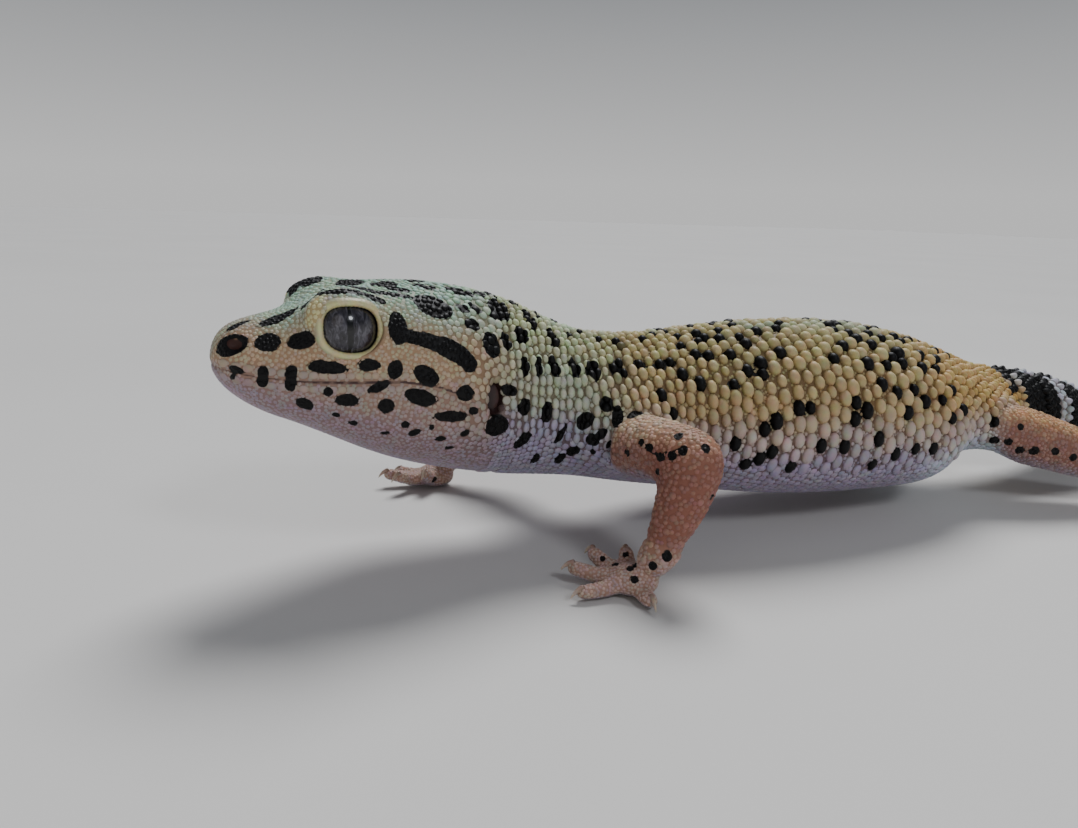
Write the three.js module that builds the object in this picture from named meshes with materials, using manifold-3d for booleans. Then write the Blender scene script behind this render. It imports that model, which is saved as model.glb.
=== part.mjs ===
// A leopard gecko at life size, in mid-walk: head raised, belly just clear of the floor, left forefoot planted
// under the elbow, right forefoot reached out in front, left hind leg trailing and right hind leg drawn forward.
// The tail lies on the floor from its middle on. Millimetres, +Z up, the floor at z = 0.
//
// Places are given in the animal's own frame: x, or along, runs back from the tip of the snout, y is to its
// right and z up from the floor. At the end the whole animal is moved so that the middle of its footprint is the
// origin, which leaves the head towards -X and the left side towards -Y.
import * as THREE from "three";
import { mergeVertices } from "three/addons/utils/BufferGeometryUtils.js";
import Module from "manifold-3d";

const wasm = await Module();
wasm.setup();

// ---- driving dimensions ------------------------------------------------------------------------------------

const SNOUT_TO_VENT = 118;
const TAIL = 86;
const LENGTH = SNOUT_TO_VENT + TAIL;
const HEAD_END = 33;
const PARTING = 0.3; // the thin cut between one named part and the next
const BODY_SIDES = 20; // facets round the head, trunk and tail
const FAR = 400; // larger than the animal, for blocks that cut it
const SIDE = { left: -1, right: 1 }; // the sign of y

// The form from snout to tail tip. top and bottom: the outline from the side. widest: the height at which it is
// widest. half: half that width. square: 2 is an ellipse, more is boxier.
const FORM = [
  { along: 0, top: 25.2, bottom: 25.2, widest: 25.2, half: 0, square: 2 },
  { along: 0.4, top: 27.2, bottom: 23.4, widest: 25.2, half: 2.2, square: 2.1 },
  { along: 1.2, top: 28.4, bottom: 22.3, widest: 24.9, half: 3.5, square: 2.2 },
  { along: 2.6, top: 29.2, bottom: 21.0, widest: 24.4, half: 4.6, square: 2.35 },
  { along: 4.6, top: 29.8, bottom: 19.6, widest: 23.8, half: 5.6, square: 2.4 },
  { along: 7.5, top: 30.3, bottom: 18.4, widest: 23.3, half: 6.7, square: 2.4 },
  { along: 10.5, top: 31.1, bottom: 17.0, widest: 22.9, half: 7.8, square: 2.4 },
  { along: 13.5, top: 32.1, bottom: 15.5, widest: 22.3, half: 8.6, square: 2.4 },
  { along: 17, top: 33.2, bottom: 13.8, widest: 21.5, half: 9.4, square: 2.35 },
  { along: 21, top: 33.5, bottom: 12.3, widest: 20.6, half: 10.0, square: 2.3 },
  { along: 25.4, top: 33.1, bottom: 11.0, widest: 19.9, half: 10.2, square: 2.2 },
  { along: 29, top: 32.5, bottom: 10.1, widest: 19.4, half: 9.9, square: 2.15 },
  { along: 33, top: 31.5, bottom: 9.2, widest: 18.9, half: 9.3, square: 2.05 },
  { along: 37, top: 30.1, bottom: 8.5, widest: 18.3, half: 8.8, square: 2 },
  { along: 41, top: 28.5, bottom: 7.8, widest: 17.6, half: 8.7, square: 2 },
  { along: 45, top: 27.1, bottom: 7.1, widest: 16.8, half: 9.3, square: 2 },
  { along: 52, top: 26.6, bottom: 5.7, widest: 15.6, half: 11.2, square: 2.05 },
  { along: 62, top: 27.2, bottom: 4.3, widest: 14.4, half: 13.4, square: 2.15 },
  { along: 70, top: 27.8, bottom: 3.2, widest: 13.7, half: 14.5, square: 2.2 },
  { along: 79, top: 27.9, bottom: 2.4, widest: 13.0, half: 15.0, square: 2.2 },
  { along: 88, top: 27.4, bottom: 2.0, widest: 12.5, half: 14.6, square: 2.2 },
  { along: 97, top: 25.8, bottom: 1.9, widest: 12.0, half: 12.9, square: 2.2 },
  { along: 104, top: 23.9, bottom: 3.1, widest: 12.2, half: 10.6, square: 2.1 },
  { along: 110, top: 21.9, bottom: 5.8, widest: 12.6, half: 8.6, square: 2 },
  { along: 115, top: 20.4, bottom: 7.2, widest: 13.0, half: 7.2, square: 2 },
  { along: 119, top: 19.7, bottom: 7.7, widest: 13.2, half: 6.2, square: 2 },
  { along: 125, top: 19.5, bottom: 7.0, widest: 12.9, half: 6.3, square: 2 },
  { along: 132, top: 18.4, bottom: 4.9, widest: 11.3, half: 7.1, square: 2 },
  { along: 140, top: 16.2, bottom: 2.4, widest: 8.9, half: 7.5, square: 2 },
  { along: 150, top: 13.3, bottom: 0.4, widest: 6.6, half: 7.1, square: 2 },
  { along: 160, top: 11.0, bottom: -0.2, widest: 5.3, half: 6.2, square: 2 },
  { along: 172, top: 8.4, bottom: -0.25, widest: 4.0, half: 4.8, square: 2 },
  { along: 184, top: 5.8, bottom: -0.2, widest: 2.8, half: 3.2, square: 2 },
  { along: 194, top: 3.6, bottom: -0.15, widest: 1.75, half: 1.9, square: 2 },
  { along: 201, top: 2.0, bottom: -0.1, widest: 0.95, half: 0.95, square: 2 },
  { along: LENGTH, top: 0.8, bottom: 0.8, widest: 0.8, half: 0, square: 2 },
];

// The midline from above: the head turned a little to the left, a nearly straight trunk, and the tail's slow
// bend to the right.
const MIDLINE = new THREE.CatmullRomCurve3(
  [
    [0, -0.9],
    [16, 0.2],
    [32, 1.2],
    [48, 1.0],
    [72, 0],
    [96, -0.5],
    [118, 0],
    [140, -0.4],
    [160, 1.8],
    [180, 7.2],
    [199, 14.6],
  ].map(([x, y]) => new THREE.Vector3(x, y, 0)),
);
MIDLINE.arcLengthDivisions = 800;

// Muscle, bone and folds that the sections alone don't show, the same on both sides. out: how far the surface
// stands out there, or in where it is negative. reach: how far along, aside and high it fades away.
const RELIEF = {
  nostril: { along: 2.5, aside: 3.4, height: 27.6, reach: [1.5, 1.5, 1.5], out: 0.3 },
  snoutHollow: { along: 7.4, aside: 5.6, height: 28.2, reach: [3.2, 2.6, 2.2], out: -0.75 },
  upperLip: { along: 9.5, aside: 7.6, height: 24.1, reach: [7.5, 3, 1.3], out: 0.35 },
  brow: { along: 12.8, aside: 5.7, height: 30.6, reach: [4, 3.1, 3.1], out: 3.2 },
  browFront: { along: 10.2, aside: 6.8, height: 31.2, reach: [2.1, 2.5, 2.4], out: 2.3 },
  cheek: { along: 17.5, aside: 9, height: 25, reach: [3.2, 3, 2.2], out: -0.35 },
  jowl: { along: 24.2, aside: 10, height: 20.4, reach: [6, 4.5, 5.6], out: 1.35 },
  temple: { along: 22.5, aside: 7.6, height: 29, reach: [5.5, 3.6, 3.2], out: 0.5 },
  shoulder: { along: 47.5, aside: 8.6, height: 16.5, reach: [6, 5, 5.5], out: 1.5 },
  armpit: { along: 54, aside: 10, height: 9.5, reach: [3.5, 4, 4.5], out: -0.7 },
  flank: { along: 99, aside: 11.5, height: 10, reach: [5, 5, 7], out: 1.9 },
  groin: { along: 106.5, aside: 9, height: 8, reach: [2.4, 4, 5], out: -0.8 },
  hip: { along: 110.5, aside: 7, height: 14, reach: [6, 5, 5], out: 1.5 },
};

// ---- making closed solids ----------------------------------------------------------------------------------

const FORM_VALUES = ["top", "bottom", "widest", "half", "square"];
const formSpline = new THREE.CubicInterpolant(
  Float32Array.from(FORM, (station) => station.along),
  Float32Array.from(FORM.flatMap((station) => FORM_VALUES.map((name) => station[name]))),
  FORM_VALUES.length,
);

function formAt(along) {
  const values = formSpline.evaluate(along);
  return Object.fromEntries(FORM_VALUES.map((name, i) => [name, values[i]]));
}

// The point that lies so far along the midline, so far aside of it and so high.
function place(along, aside, height) {
  const onMidline = MIDLINE.getPointAt(along / LENGTH);
  const back = MIDLINE.getTangentAt(along / LENGTH);
  return new THREE.Vector3(onMidline.x - back.y * aside, onMidline.y + back.x * aside, height);
}

function reliefAt(along, aside, height) {
  const point = [along, Math.abs(aside), height];
  return Object.values(RELIEF).reduce((sum, { reach, out, ...centre }) => {
    const middle = [centre.along, centre.aside, centre.height];
    const far = point.reduce((total, value, i) => total + ((value - middle[i]) / reach[i]) ** 2, 0);
    return sum + out * Math.exp(-far);
  }, 0);
}

// A sphere's grid of vertices, each moved to where placeVertex(angle, ring) says. The whole first ring goes to
// one point and the whole last ring to another, so the form is closed.
function closedForm(sides, rings, placeVertex) {
  const geometry = new THREE.SphereGeometry(1, sides, rings);
  const { position, uv } = geometry.attributes;
  for (let i = 0; i < position.count; i++) {
    const ring = Math.round((1 - uv.getY(i)) * rings);
    const atEnd = ring === 0 || ring === rings;
    const column = atEnd ? 0 : Math.round(uv.getX(i) * sides) % sides;
    const point = placeVertex((column / sides) * 2 * Math.PI, ring);
    position.setXYZ(i, point.x, point.y, point.z);
  }
  return geometry;
}

function solid(geometry) {
  geometry.deleteAttribute("normal");
  geometry.deleteAttribute("uv");
  const merged = mergeVertices(geometry, 1e-4);
  const triangles = [];
  for (let i = 0; i < merged.index.count; i += 3) {
    const [a, b, c] = [0, 1, 2].map((k) => merged.index.getX(i + k));
    if (a !== b && b !== c && c !== a) triangles.push([a, b, c]);
  }
  const build = (corners) =>
    new wasm.Manifold(
      new wasm.Mesh({
        numProp: 3,
        vertProperties: merged.attributes.position.array,
        triVerts: Uint32Array.from(corners.flat()),
      }),
    );
  const made = build(triangles);
  return made.volume() > 0 ? made : build(triangles.map(([a, b, c]) => [a, c, b]));
}

function ellipsoid(centre, radii, { grow = 0, sides = 12, rings = 8 } = {}) {
  const geometry = new THREE.SphereGeometry(1, sides, rings);
  geometry.scale(...radii.map((radius) => radius + grow));
  geometry.translate(centre.x, centre.y, centre.z);
  return solid(geometry);
}

// The head, neck, trunk and tail as one closed form, each section square to the midline.
function axialForm(grow = 0) {
  const STRETCHES = [
    { to: 3.2, step: 1.2 },
    { to: 8, step: 2.4 },
    { to: 13, step: 1.7 },
    { to: 33, step: 2.85 },
    { to: 46, step: 3.6 },
    { to: 95, step: 5.8 },
    { to: 118, step: 3.3 },
    { to: 196, step: 7.8 },
  ];
  const ringsAt = [0, 0.16, 0.6];
  for (const { to, step } of STRETCHES) {
    while (ringsAt.at(-1) + step <= to) ringsAt.push(ringsAt.at(-1) + step);
  }
  ringsAt.push(LENGTH - 4, LENGTH - 1, LENGTH);
  const power = (value, square) => Math.sign(value) * Math.abs(value) ** (2 / square);
  return solid(
    closedForm(BODY_SIDES, ringsAt.length - 1, (angle, ring) => {
      const along = ringsAt[ring];
      const { top, bottom, widest, half, square } = formAt(along);
      if (ring === 0 || ring === ringsAt.length - 1) return place(along, 0, widest);
      const outwards = new THREE.Vector2(Math.cos(angle), Math.sin(angle));
      const rise = outwards.y > 0 ? top - widest : widest - bottom;
      const point = new THREE.Vector2(power(outwards.x, square) * half, power(outwards.y, square) * rise);
      const relief = reliefAt(along, point.x, widest + point.y);
      point.addScaledVector(outwards, relief + grow);
      return place(along, point.x, widest + point.y);
    }),
  );
}

// A length of limb or a toe through stations { x, y, z, r }, round in section, with domed ends.
function limbForm(stations, { grow = 0, sides = 8, perStation = 2, dome = [0, 0.7] } = {}) {
  const path = new THREE.CatmullRomCurve3(stations.map(({ x, y, z }) => new THREE.Vector3(x, y, z)));
  const radii = new THREE.CubicInterpolant(
    Float32Array.from(stations, (_, i) => i / (stations.length - 1)),
    Float32Array.from(stations, ({ r }) => r),
    1,
  );
  const lengths = perStation * (stations.length - 1);
  const rings = lengths + 2 * dome.length;
  return solid(
    closedForm(sides, rings, (angle, ring) => {
      const fromEnd = Math.min(ring, rings - ring);
      const share = fromEnd < dome.length ? dome[fromEnd] : 1;
      const t = Math.min(1, Math.max(0, (ring - dome.length) / lengths));
      const radius = radii.evaluate(t)[0] + grow;
      const forward = path.getTangent(t);
      const across = new THREE.Vector3(0, 0, 1).cross(forward).normalize();
      const up = forward.clone().cross(across);
      const beyond = Math.sqrt(1 - share * share) * radius * (ring < dome.length ? -1 : 1);
      return path
        .getPoint(t)
        .addScaledVector(forward, beyond)
        .addScaledVector(across, Math.cos(angle) * radius * share)
        .addScaledVector(up, Math.sin(angle) * radius * share);
    }),
  );
}

// All that lies before (sign -1) or behind (sign 1) a place along the midline, reaching half a parting past it.
function allBeyond(along, sign) {
  const back = MIDLINE.getTangentAt(along / LENGTH);
  const at = place(along, 0, 0);
  const geometry = new THREE.BoxGeometry(FAR, FAR, FAR);
  geometry.translate((sign * (FAR - PARTING)) / 2, 0, 0);
  geometry.rotateZ(Math.atan2(back.y, back.x));
  geometry.translate(at.x, at.y, 0);
  return solid(geometry);
}

function between(form, from, to) {
  let kept = form;
  if (from > 0) kept = kept.subtract(allBeyond(from, -1));
  if (to < LENGTH) kept = kept.subtract(allBeyond(to, 1));
  return kept;
}

const floorGeometry = new THREE.BoxGeometry(FAR, FAR, FAR);
floorGeometry.translate(LENGTH / 2, 0, -FAR / 2);
const floor = solid(floorGeometry);

// ---- the group and its materials ---------------------------------------------------------------------------

const FINISHES = {
  head: { color: "#c9c3a0", roughness: 0.6 },
  jaw: { color: "#b9adb0", roughness: 0.6 },
  neck: { color: "#cfc79c", roughness: 0.65 },
  trunk: { color: "#c9ac63", roughness: 0.65 },
  tail: { color: "#b9b3ab", roughness: 0.65 },
  limb: { color: "#c98e68", roughness: 0.6 },
  foot: { color: "#caa79a", roughness: 0.6 },
  claw: { color: "#8a7466", roughness: 0.45 },
  eye: { color: "#4b4c58", roughness: 0.1 },
  eyelid: { color: "#d6cfa2", roughness: 0.5 },
  ear: { color: "#6e3b3a", roughness: 0.7 },
};

const gecko = new THREE.Group();

// A cut can leave crumbs beside the part itself, so only the largest piece is kept.
function addPart(name, form, finish) {
  const largest = form.decompose().sort((a, b) => b.volume() - a.volume())[0];
  const { vertProperties, triVerts } = largest.getMesh();
  const geometry = new THREE.BufferGeometry();
  geometry.setAttribute("position", new THREE.BufferAttribute(vertProperties, 3));
  geometry.setIndex(new THREE.BufferAttribute(triVerts, 1));
  geometry.computeVertexNormals();
  const mesh = new THREE.Mesh(geometry, new THREE.MeshStandardMaterial({ ...FINISHES[finish], metalness: 0 }));
  mesh.name = name;
  gecko.add(mesh);
}

// ---- neck, trunk and tail ----------------------------------------------------------------------------------

const LENGTHS = [
  { name: "neck", from: HEAD_END, to: 44, finish: "neck" },
  { name: "trunk_front", from: 44, to: 68, finish: "trunk" },
  { name: "trunk_middle", from: 68, to: 94, finish: "trunk" },
  { name: "trunk_rear", from: 94, to: SNOUT_TO_VENT, finish: "trunk" },
  { name: "tail_base", from: SNOUT_TO_VENT, to: 141, finish: "tail" },
  { name: "tail_middle", from: 141, to: 170, finish: "tail" },
  { name: "tail_end", from: 170, to: LENGTH, finish: "tail" },
];

const body = axialForm().subtract(floor);
for (const { name, from, to, finish } of LENGTHS) addPart(name, between(body, from, to), finish);

// ---- head, lower jaw, eyes, eyelids and ears ---------------------------------------------------------------

const EYE = { along: 13.3, aside: 5.8, height: 28.9, radius: 3.3 };
const EYELID = { along: 13.25, aside: 8.35, height: 28.95, halfLength: 3.2, halfHeight: 2.7, radius: 0.6 };
const EYELID_TURN = 0.21; // radians, its front edge inwards
const EYELID_TILT = 0.1; // radians, its top edge inwards
const EAR = { along: 29.3, aside: 10.4, height: 20.4, radii: [1.3, 1.8, 2.1] };
const EARDRUM = { deeperBy: 1.25, radii: [0.95, 0.32, 1.75] };

// The closed mouth from the side: [along, height] from the snout to its corner under the back of the eye.
const LIPS = [
  [-2, 24.6],
  [1.2, 24.1],
  [4.7, 23.4],
  [9, 23.0],
  [14, 22.9],
  [18.5, 23.1],
  [22, 22.8],
  [24.4, 22.0],
];
const JAW_BACK = { along: 27.2, height: 5 }; // where the parting behind the jaw comes out under the throat

function eyeball(side, grow = 0) {
  const { radius } = EYE;
  const centre = place(EYE.along, side * EYE.aside, EYE.height);
  return ellipsoid(centre, [radius, radius, radius], { grow, sides: 12, rings: 8 });
}

function eyelidRing(side, grow = 0) {
  const centre = place(EYELID.along, side * EYELID.aside, EYELID.height);
  const headTurn = Math.atan2(MIDLINE.getTangentAt(EYELID.along / LENGTH).y, 1);
  const geometry = new THREE.TorusGeometry(1, (EYELID.radius + grow) / EYELID.halfHeight, 5, 16);
  geometry.scale(EYELID.halfLength, EYELID.halfHeight, EYELID.halfHeight);
  geometry.rotateX(Math.PI / 2);
  geometry.rotateX(side * EYELID_TILT);
  geometry.rotateZ(side * EYELID_TURN + headTurn);
  geometry.translate(centre.x, centre.y, centre.z);
  return solid(geometry);
}

// All below the lips and before the back of the jaw, its upper and rear faces moved in by inset.
function jawRegion(inset = 0) {
  const lips = new THREE.SplineCurve(LIPS.map(([x, z]) => new THREE.Vector2(x, z - inset))).getPoints(9);
  const outline = new THREE.Shape([
    ...lips.slice(0, -1),
    new THREE.Vector2(LIPS.at(-1)[0] - inset, LIPS.at(-1)[1] - inset),
    new THREE.Vector2(JAW_BACK.along - inset, JAW_BACK.height),
    new THREE.Vector2(LIPS[0][0], JAW_BACK.height),
  ]);
  const geometry = new THREE.ExtrudeGeometry(outline, { depth: 40, bevelEnabled: false });
  geometry.rotateX(Math.PI / 2);
  geometry.translate(0, 20, 0);
  return solid(geometry);
}

let head = between(body, 0, HEAD_END);
addPart("lower_jaw", head.intersect(jawRegion(PARTING)), "jaw");
head = head.subtract(jawRegion());
for (const [sideName, side] of Object.entries(SIDE)) {
  const ear = place(EAR.along, side * EAR.aside, EAR.height);
  const eardrum = place(EAR.along, side * (EAR.aside - EARDRUM.deeperBy), EAR.height);
  head = head
    .subtract(eyeball(side, PARTING))
    .subtract(eyelidRing(side, PARTING))
    .subtract(ellipsoid(ear, EAR.radii, { sides: 8, rings: 6 }))
    .subtract(ellipsoid(eardrum, EARDRUM.radii, { grow: PARTING, sides: 8, rings: 5 }));
  addPart(`eye_${sideName}`, eyeball(side), "eye");
  addPart(`eyelid_${sideName}`, eyelidRing(side).subtract(eyeball(side, PARTING)), "eyelid");
  addPart(`ear_${sideName}`, ellipsoid(eardrum, EARDRUM.radii, { sides: 8, rings: 5 }), "ear");
}
addPart("head", head, "head");

// ---- legs --------------------------------------------------------------------------------------------------

// turn: each toe's angle from the middle toe in degrees, towards the midline. reach: palm centre to toe tip.
// lift: the height of the toe's tip.
const FORE_TOES = [
  { turn: 64, reach: 5.1, lift: 3.1 },
  { turn: 32, reach: 7.4, lift: 2.5 },
  { turn: 0, reach: 7.9, lift: 1.9 },
  { turn: -40, reach: 7.3, lift: 1.0 },
  { turn: -122, reach: 5.3, lift: 1.0 },
];
const HIND_TOES = [
  { turn: 62, reach: 5.0, lift: 1.0 },
  { turn: 32, reach: 7.2, lift: 1.2 },
  { turn: 4, reach: 8.6, lift: 1.3 },
  { turn: -26, reach: 9.2, lift: 1.2 },
  { turn: -84, reach: 6.6, lift: 1.0 },
];
const TOE_RADIUS = 0.92;
const CLAW = { length: 1.2, radius: 0.34 };
const PALM = { radii: [2.7, 2.5, 1.8], height: 1.6 };

// y is measured outwards from the trunk's midline on the leg's own side. heading: how far its middle toe turns
// towards the midline from straight ahead, in degrees.
const LEGS = [
  {
    name: "fore_left",
    upper: [
      { x: 46.4, y: 7.6, z: 14, r: 4.6 },
      { x: 47.5, y: 14.2, z: 15.1, r: 4.2 },
      { x: 48.7, y: 19.6, z: 15.3, r: 3.9 },
    ],
    lower: [
      { x: 48.8, y: 19.8, z: 14.9, r: 3.85 },
      { x: 46.8, y: 20.1, z: 9.9, r: 3.5 },
      { x: 44.1, y: 20.2, z: 4.6, r: 2.15 },
    ],
    palm: { x: 42.4, y: 18.9 },
    heading: 40,
    toes: FORE_TOES,
  },
  {
    name: "fore_right",
    upper: [
      { x: 46.4, y: 7.6, z: 14, r: 4.6 },
      { x: 45.6, y: 14.4, z: 14.8, r: 4.2 },
      { x: 44.4, y: 20.6, z: 13.8, r: 3.9 },
    ],
    lower: [
      { x: 44.4, y: 20.8, z: 13.5, r: 3.8 },
      { x: 40.2, y: 23, z: 9.2, r: 3.4 },
      { x: 35.2, y: 24.4, z: 4.6, r: 2.3 },
    ],
    palm: { x: 32.8, y: 24.8 },
    heading: -12,
    toes: FORE_TOES,
  },
  {
    name: "hind_left",
    upper: [
      { x: 107.5, y: 6.4, z: 12.6, r: 5.1 },
      { x: 116, y: 11, z: 10.1, r: 4.8 },
      { x: 124.5, y: 15, z: 7.4, r: 4.1 },
    ],
    lower: [
      { x: 124.7, y: 15.2, z: 7.2, r: 4.0 },
      { x: 131, y: 20.4, z: 6.1, r: 3.5 },
      { x: 137, y: 25.6, z: 3.8, r: 2.3 },
    ],
    palm: { x: 138.6, y: 27.4 },
    heading: -70,
    toes: HIND_TOES,
  },
  {
    name: "hind_right",
    upper: [
      { x: 107.5, y: 6.4, z: 12.6, r: 5.1 },
      { x: 104.4, y: 14.4, z: 13.4, r: 4.8 },
      { x: 101.4, y: 21.8, z: 12.6, r: 4.1 },
    ],
    lower: [
      { x: 101.5, y: 22.2, z: 12.2, r: 4.0 },
      { x: 106.6, y: 25.2, z: 8.6, r: 3.5 },
      { x: 111.4, y: 27.8, z: 4.1, r: 2.3 },
    ],
    palm: { x: 111.8, y: 29.6 },
    heading: -38,
    toes: HIND_TOES,
  },
];

// A toe arches down from the palm, lies on its pad and lifts a little at the tip, where its claw curves down.
function toeForms(palm, side, angle, { reach, lift }, grow = 0) {
  const ahead = { x: -Math.cos(angle), y: -side * Math.sin(angle) };
  const at = (far, z, r) => ({ x: palm.x + ahead.x * far, y: palm.y + ahead.y * far, z, r });
  const toe = [
    at(1.2, 1.7, TOE_RADIUS * 1.15),
    at(reach * 0.55, (0.86 + lift) / 2, TOE_RADIUS),
    at(reach - TOE_RADIUS, lift, TOE_RADIUS * 0.86),
  ];
  const claw = [
    at(reach - 0.3, lift + 0.15, CLAW.radius),
    at(reach + CLAW.length - CLAW.radius, lift - 0.5, CLAW.radius * 0.8),
  ];
  return {
    toe: limbForm(toe, { grow, sides: 6, perStation: 1 }),
    claw: limbForm(claw, { sides: 4, perStation: 1, dome: [0] }),
  };
}

const grownBody = axialForm(PARTING);
for (const { name, toes, heading, ...leg } of LEGS) {
  const side = name.endsWith("left") ? SIDE.left : SIDE.right;
  const onSide = (stations) => stations.map((station) => ({ ...station, y: side * station.y }));
  const [upper, lower, [palm]] = [leg.upper, leg.lower, [leg.palm]].map(onSide);
  const grow = PARTING;
  const angles = toes.map(({ turn }) => THREE.MathUtils.degToRad(heading + turn));
  let foot = ellipsoid({ ...palm, z: PALM.height }, PALM.radii, { sides: 10, rings: 6 });
  let grownToes = null;
  toes.forEach((toe, i) => {
    foot = foot.add(toeForms(palm, side, angles[i], toe).toe);
    const grown = toeForms(palm, side, angles[i], toe, grow / 2).toe;
    grownToes = grownToes ? grownToes.add(grown) : grown;
  });
  const footFree = foot.subtract(limbForm(lower, { grow })).subtract(floor);
  addPart(`${name}_upper`, limbForm(upper).subtract(grownBody), "limb");
  addPart(`${name}_lower`, limbForm(lower).subtract(limbForm(upper, { grow })).subtract(floor), "limb");
  addPart(`${name}_foot`, footFree, "foot");
  toes.forEach((toe, i) => {
    const { claw } = toeForms(palm, side, angles[i], toe);
    addPart(`${name}_claw_${i + 1}`, claw.subtract(grownToes).subtract(floor), "claw");
  });
}

// ---- the footprint's middle becomes the origin -------------------------------------------------------------

const footprint = new THREE.Box3().setFromObject(gecko).getCenter(new THREE.Vector3());
gecko.position.set(-footprint.x, -footprint.y, 0);

export default gecko;
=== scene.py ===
import math
import bmesh
import bpy
import numpy as np
import openvdb
from mathutils import Matrix, Vector
from mathutils.kdtree import KDTree


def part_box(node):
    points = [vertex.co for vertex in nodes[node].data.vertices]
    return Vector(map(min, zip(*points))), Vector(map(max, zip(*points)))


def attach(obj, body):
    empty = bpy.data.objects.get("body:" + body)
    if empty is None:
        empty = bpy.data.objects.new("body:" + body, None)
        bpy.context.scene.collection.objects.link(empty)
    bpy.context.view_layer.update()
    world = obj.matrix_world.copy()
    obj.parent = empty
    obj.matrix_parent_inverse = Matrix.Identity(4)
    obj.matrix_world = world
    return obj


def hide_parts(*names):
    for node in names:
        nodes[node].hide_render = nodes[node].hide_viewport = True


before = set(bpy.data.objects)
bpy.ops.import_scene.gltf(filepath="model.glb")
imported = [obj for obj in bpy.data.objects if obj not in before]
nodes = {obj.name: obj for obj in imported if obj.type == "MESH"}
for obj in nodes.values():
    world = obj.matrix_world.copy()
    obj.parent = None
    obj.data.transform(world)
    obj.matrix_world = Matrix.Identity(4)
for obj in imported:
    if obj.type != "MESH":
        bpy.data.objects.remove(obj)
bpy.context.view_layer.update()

# ---- camera ------------------------------------------------------------------------------------------------
# The view: from the animal's left front, a hand's breadth off and a little above its back, looking slightly
# down with a wide phone lens and tipped a touch to one side.
LENS = 28.39  # mm on a 36 mm wide sensor
VIEW_TURN = math.radians(-24.5)
VIEW_DOWN = math.radians(13.5)
VIEW_ROLL = math.radians(1.9)
VIEW_FROM = (-0.10410, -0.09522, 0.0415)  # m

camera_data = bpy.data.cameras.new("view_camera")
camera_data.lens = LENS
camera_data.sensor_width = 36
camera_data.clip_start = 0.005  # m
camera = bpy.data.objects.new("view_camera", camera_data)
bpy.context.scene.collection.objects.link(camera)
camera.matrix_world = (
    Matrix.Translation(VIEW_FROM)
    @ Matrix.Rotation(VIEW_TURN, 4, "Z")
    @ Matrix.Rotation(math.pi / 2 - VIEW_DOWN, 4, "X")
    @ Matrix.Rotation(VIEW_ROLL, 4, "Z")
)
bpy.context.scene.camera = camera

# ---- floor and light ---------------------------------------------------------------------------------------
# A plain pale floor of matt board, soft daylight from behind and above, a window that shows in the eye, a
# weak wide light from the front, and a pale room all round that is darker overhead.
FLOOR_SIZE = 6.0  # m


def linear(hex_colour):
    """The linear values of an sRGB colour written in hex."""
    parts = [int(hex_colour[i : i + 2], 16) / 255 for i in (1, 3, 5)]
    return [p / 12.92 if p <= 0.04045 else ((p + 0.055) / 1.055) ** 2.4 for p in parts] + [1.0]


def add_node(tree, kind, settings=None, **links):
    """Adds a node, sets its properties and any ramp's stops, and fills its sockets with values or outputs."""
    node = tree.nodes.new(kind)
    for name, value in (settings or {}).items():
        if name == "stops":
            ramp = node.color_ramp.elements
            for position, _ in value[1:-1]:
                ramp.new(position)
            for i, (position, colour) in enumerate(value):
                ramp[i].position = position
                ramp[i].color = linear(colour)
        else:
            setattr(node, name, value)
    for name, value in links.items():
        key = int(name[1:]) if name[0] == "i" and name[1:].isdigit() else name.replace("_", " ")
        socket = node.inputs[key]
        if isinstance(value, bpy.types.NodeSocket):
            tree.links.new(value, socket)
        else:
            socket.default_value = value
    return node


def new_material(name):
    """An empty material, with its tree and its output node."""
    material = bpy.data.materials.new(name)
    material.use_nodes = True
    tree = material.node_tree
    tree.nodes.clear()
    return material, tree


def finish_material(tree, shader):
    output = tree.nodes.new("ShaderNodeOutputMaterial")
    tree.links.new(shader, output.inputs["Surface"])


def mesh_object(name, points_mm, faces, material=None):
    """A mesh object at the origin from points in millimetres, shaded smooth."""
    mesh = bpy.data.meshes.new(name)
    mesh.from_pydata([tuple(p) for p in np.asarray(points_mm) * 0.001], [], faces)
    mesh.polygons.foreach_set("use_smooth", np.ones(len(mesh.polygons), bool))
    if material:
        mesh.materials.append(material)
    made = bpy.data.objects.new(name, mesh)
    bpy.context.scene.collection.objects.link(made)
    return made


board, tree = new_material("matt_painted_board")
texture = add_node(tree, "ShaderNodeTexCoord")
mottle = add_node(tree, "ShaderNodeTexNoise", Vector=texture.outputs["Object"], Scale=9.0, Detail=4.0)
greys = {"stops": ((0, "#cfcdc9"), (1, "#dad8d4"))}
shade = add_node(tree, "ShaderNodeValToRGB", greys, Fac=mottle.outputs["Fac"])
finish_material(
    tree,
    add_node(tree, "ShaderNodeBsdfPrincipled", Base_Color=shade.outputs["Color"], Roughness=0.85).outputs[0],
)
half = FLOOR_SIZE * 500  # mm
floor_corners = [(-half, -half, 0), (half, -half, 0), (half, half, 0), (-half, half, 0)]
floor = mesh_object("floor", floor_corners, [(0, 1, 2, 3)])
floor.data.materials.append(board)
floor.location.z = -0.00005

world = bpy.data.worlds.new("pale_room")
world.use_nodes = True
tree = world.node_tree
texture = add_node(tree, "ShaderNodeTexCoord")
height = add_node(tree, "ShaderNodeSeparateXYZ", Vector=texture.outputs["Generated"])
floor_to_ceiling = {"stops": ((0.03, "#fafafa"), (0.34, "#797f88"))}
room = add_node(tree, "ShaderNodeValToRGB", floor_to_ceiling, Fac=height.outputs["Z"])
tree.links.new(room.outputs["Color"], tree.nodes["Background"].inputs["Color"])
tree.nodes["Background"].inputs["Strength"].default_value = 0.66
bpy.context.scene.world = world

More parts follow.
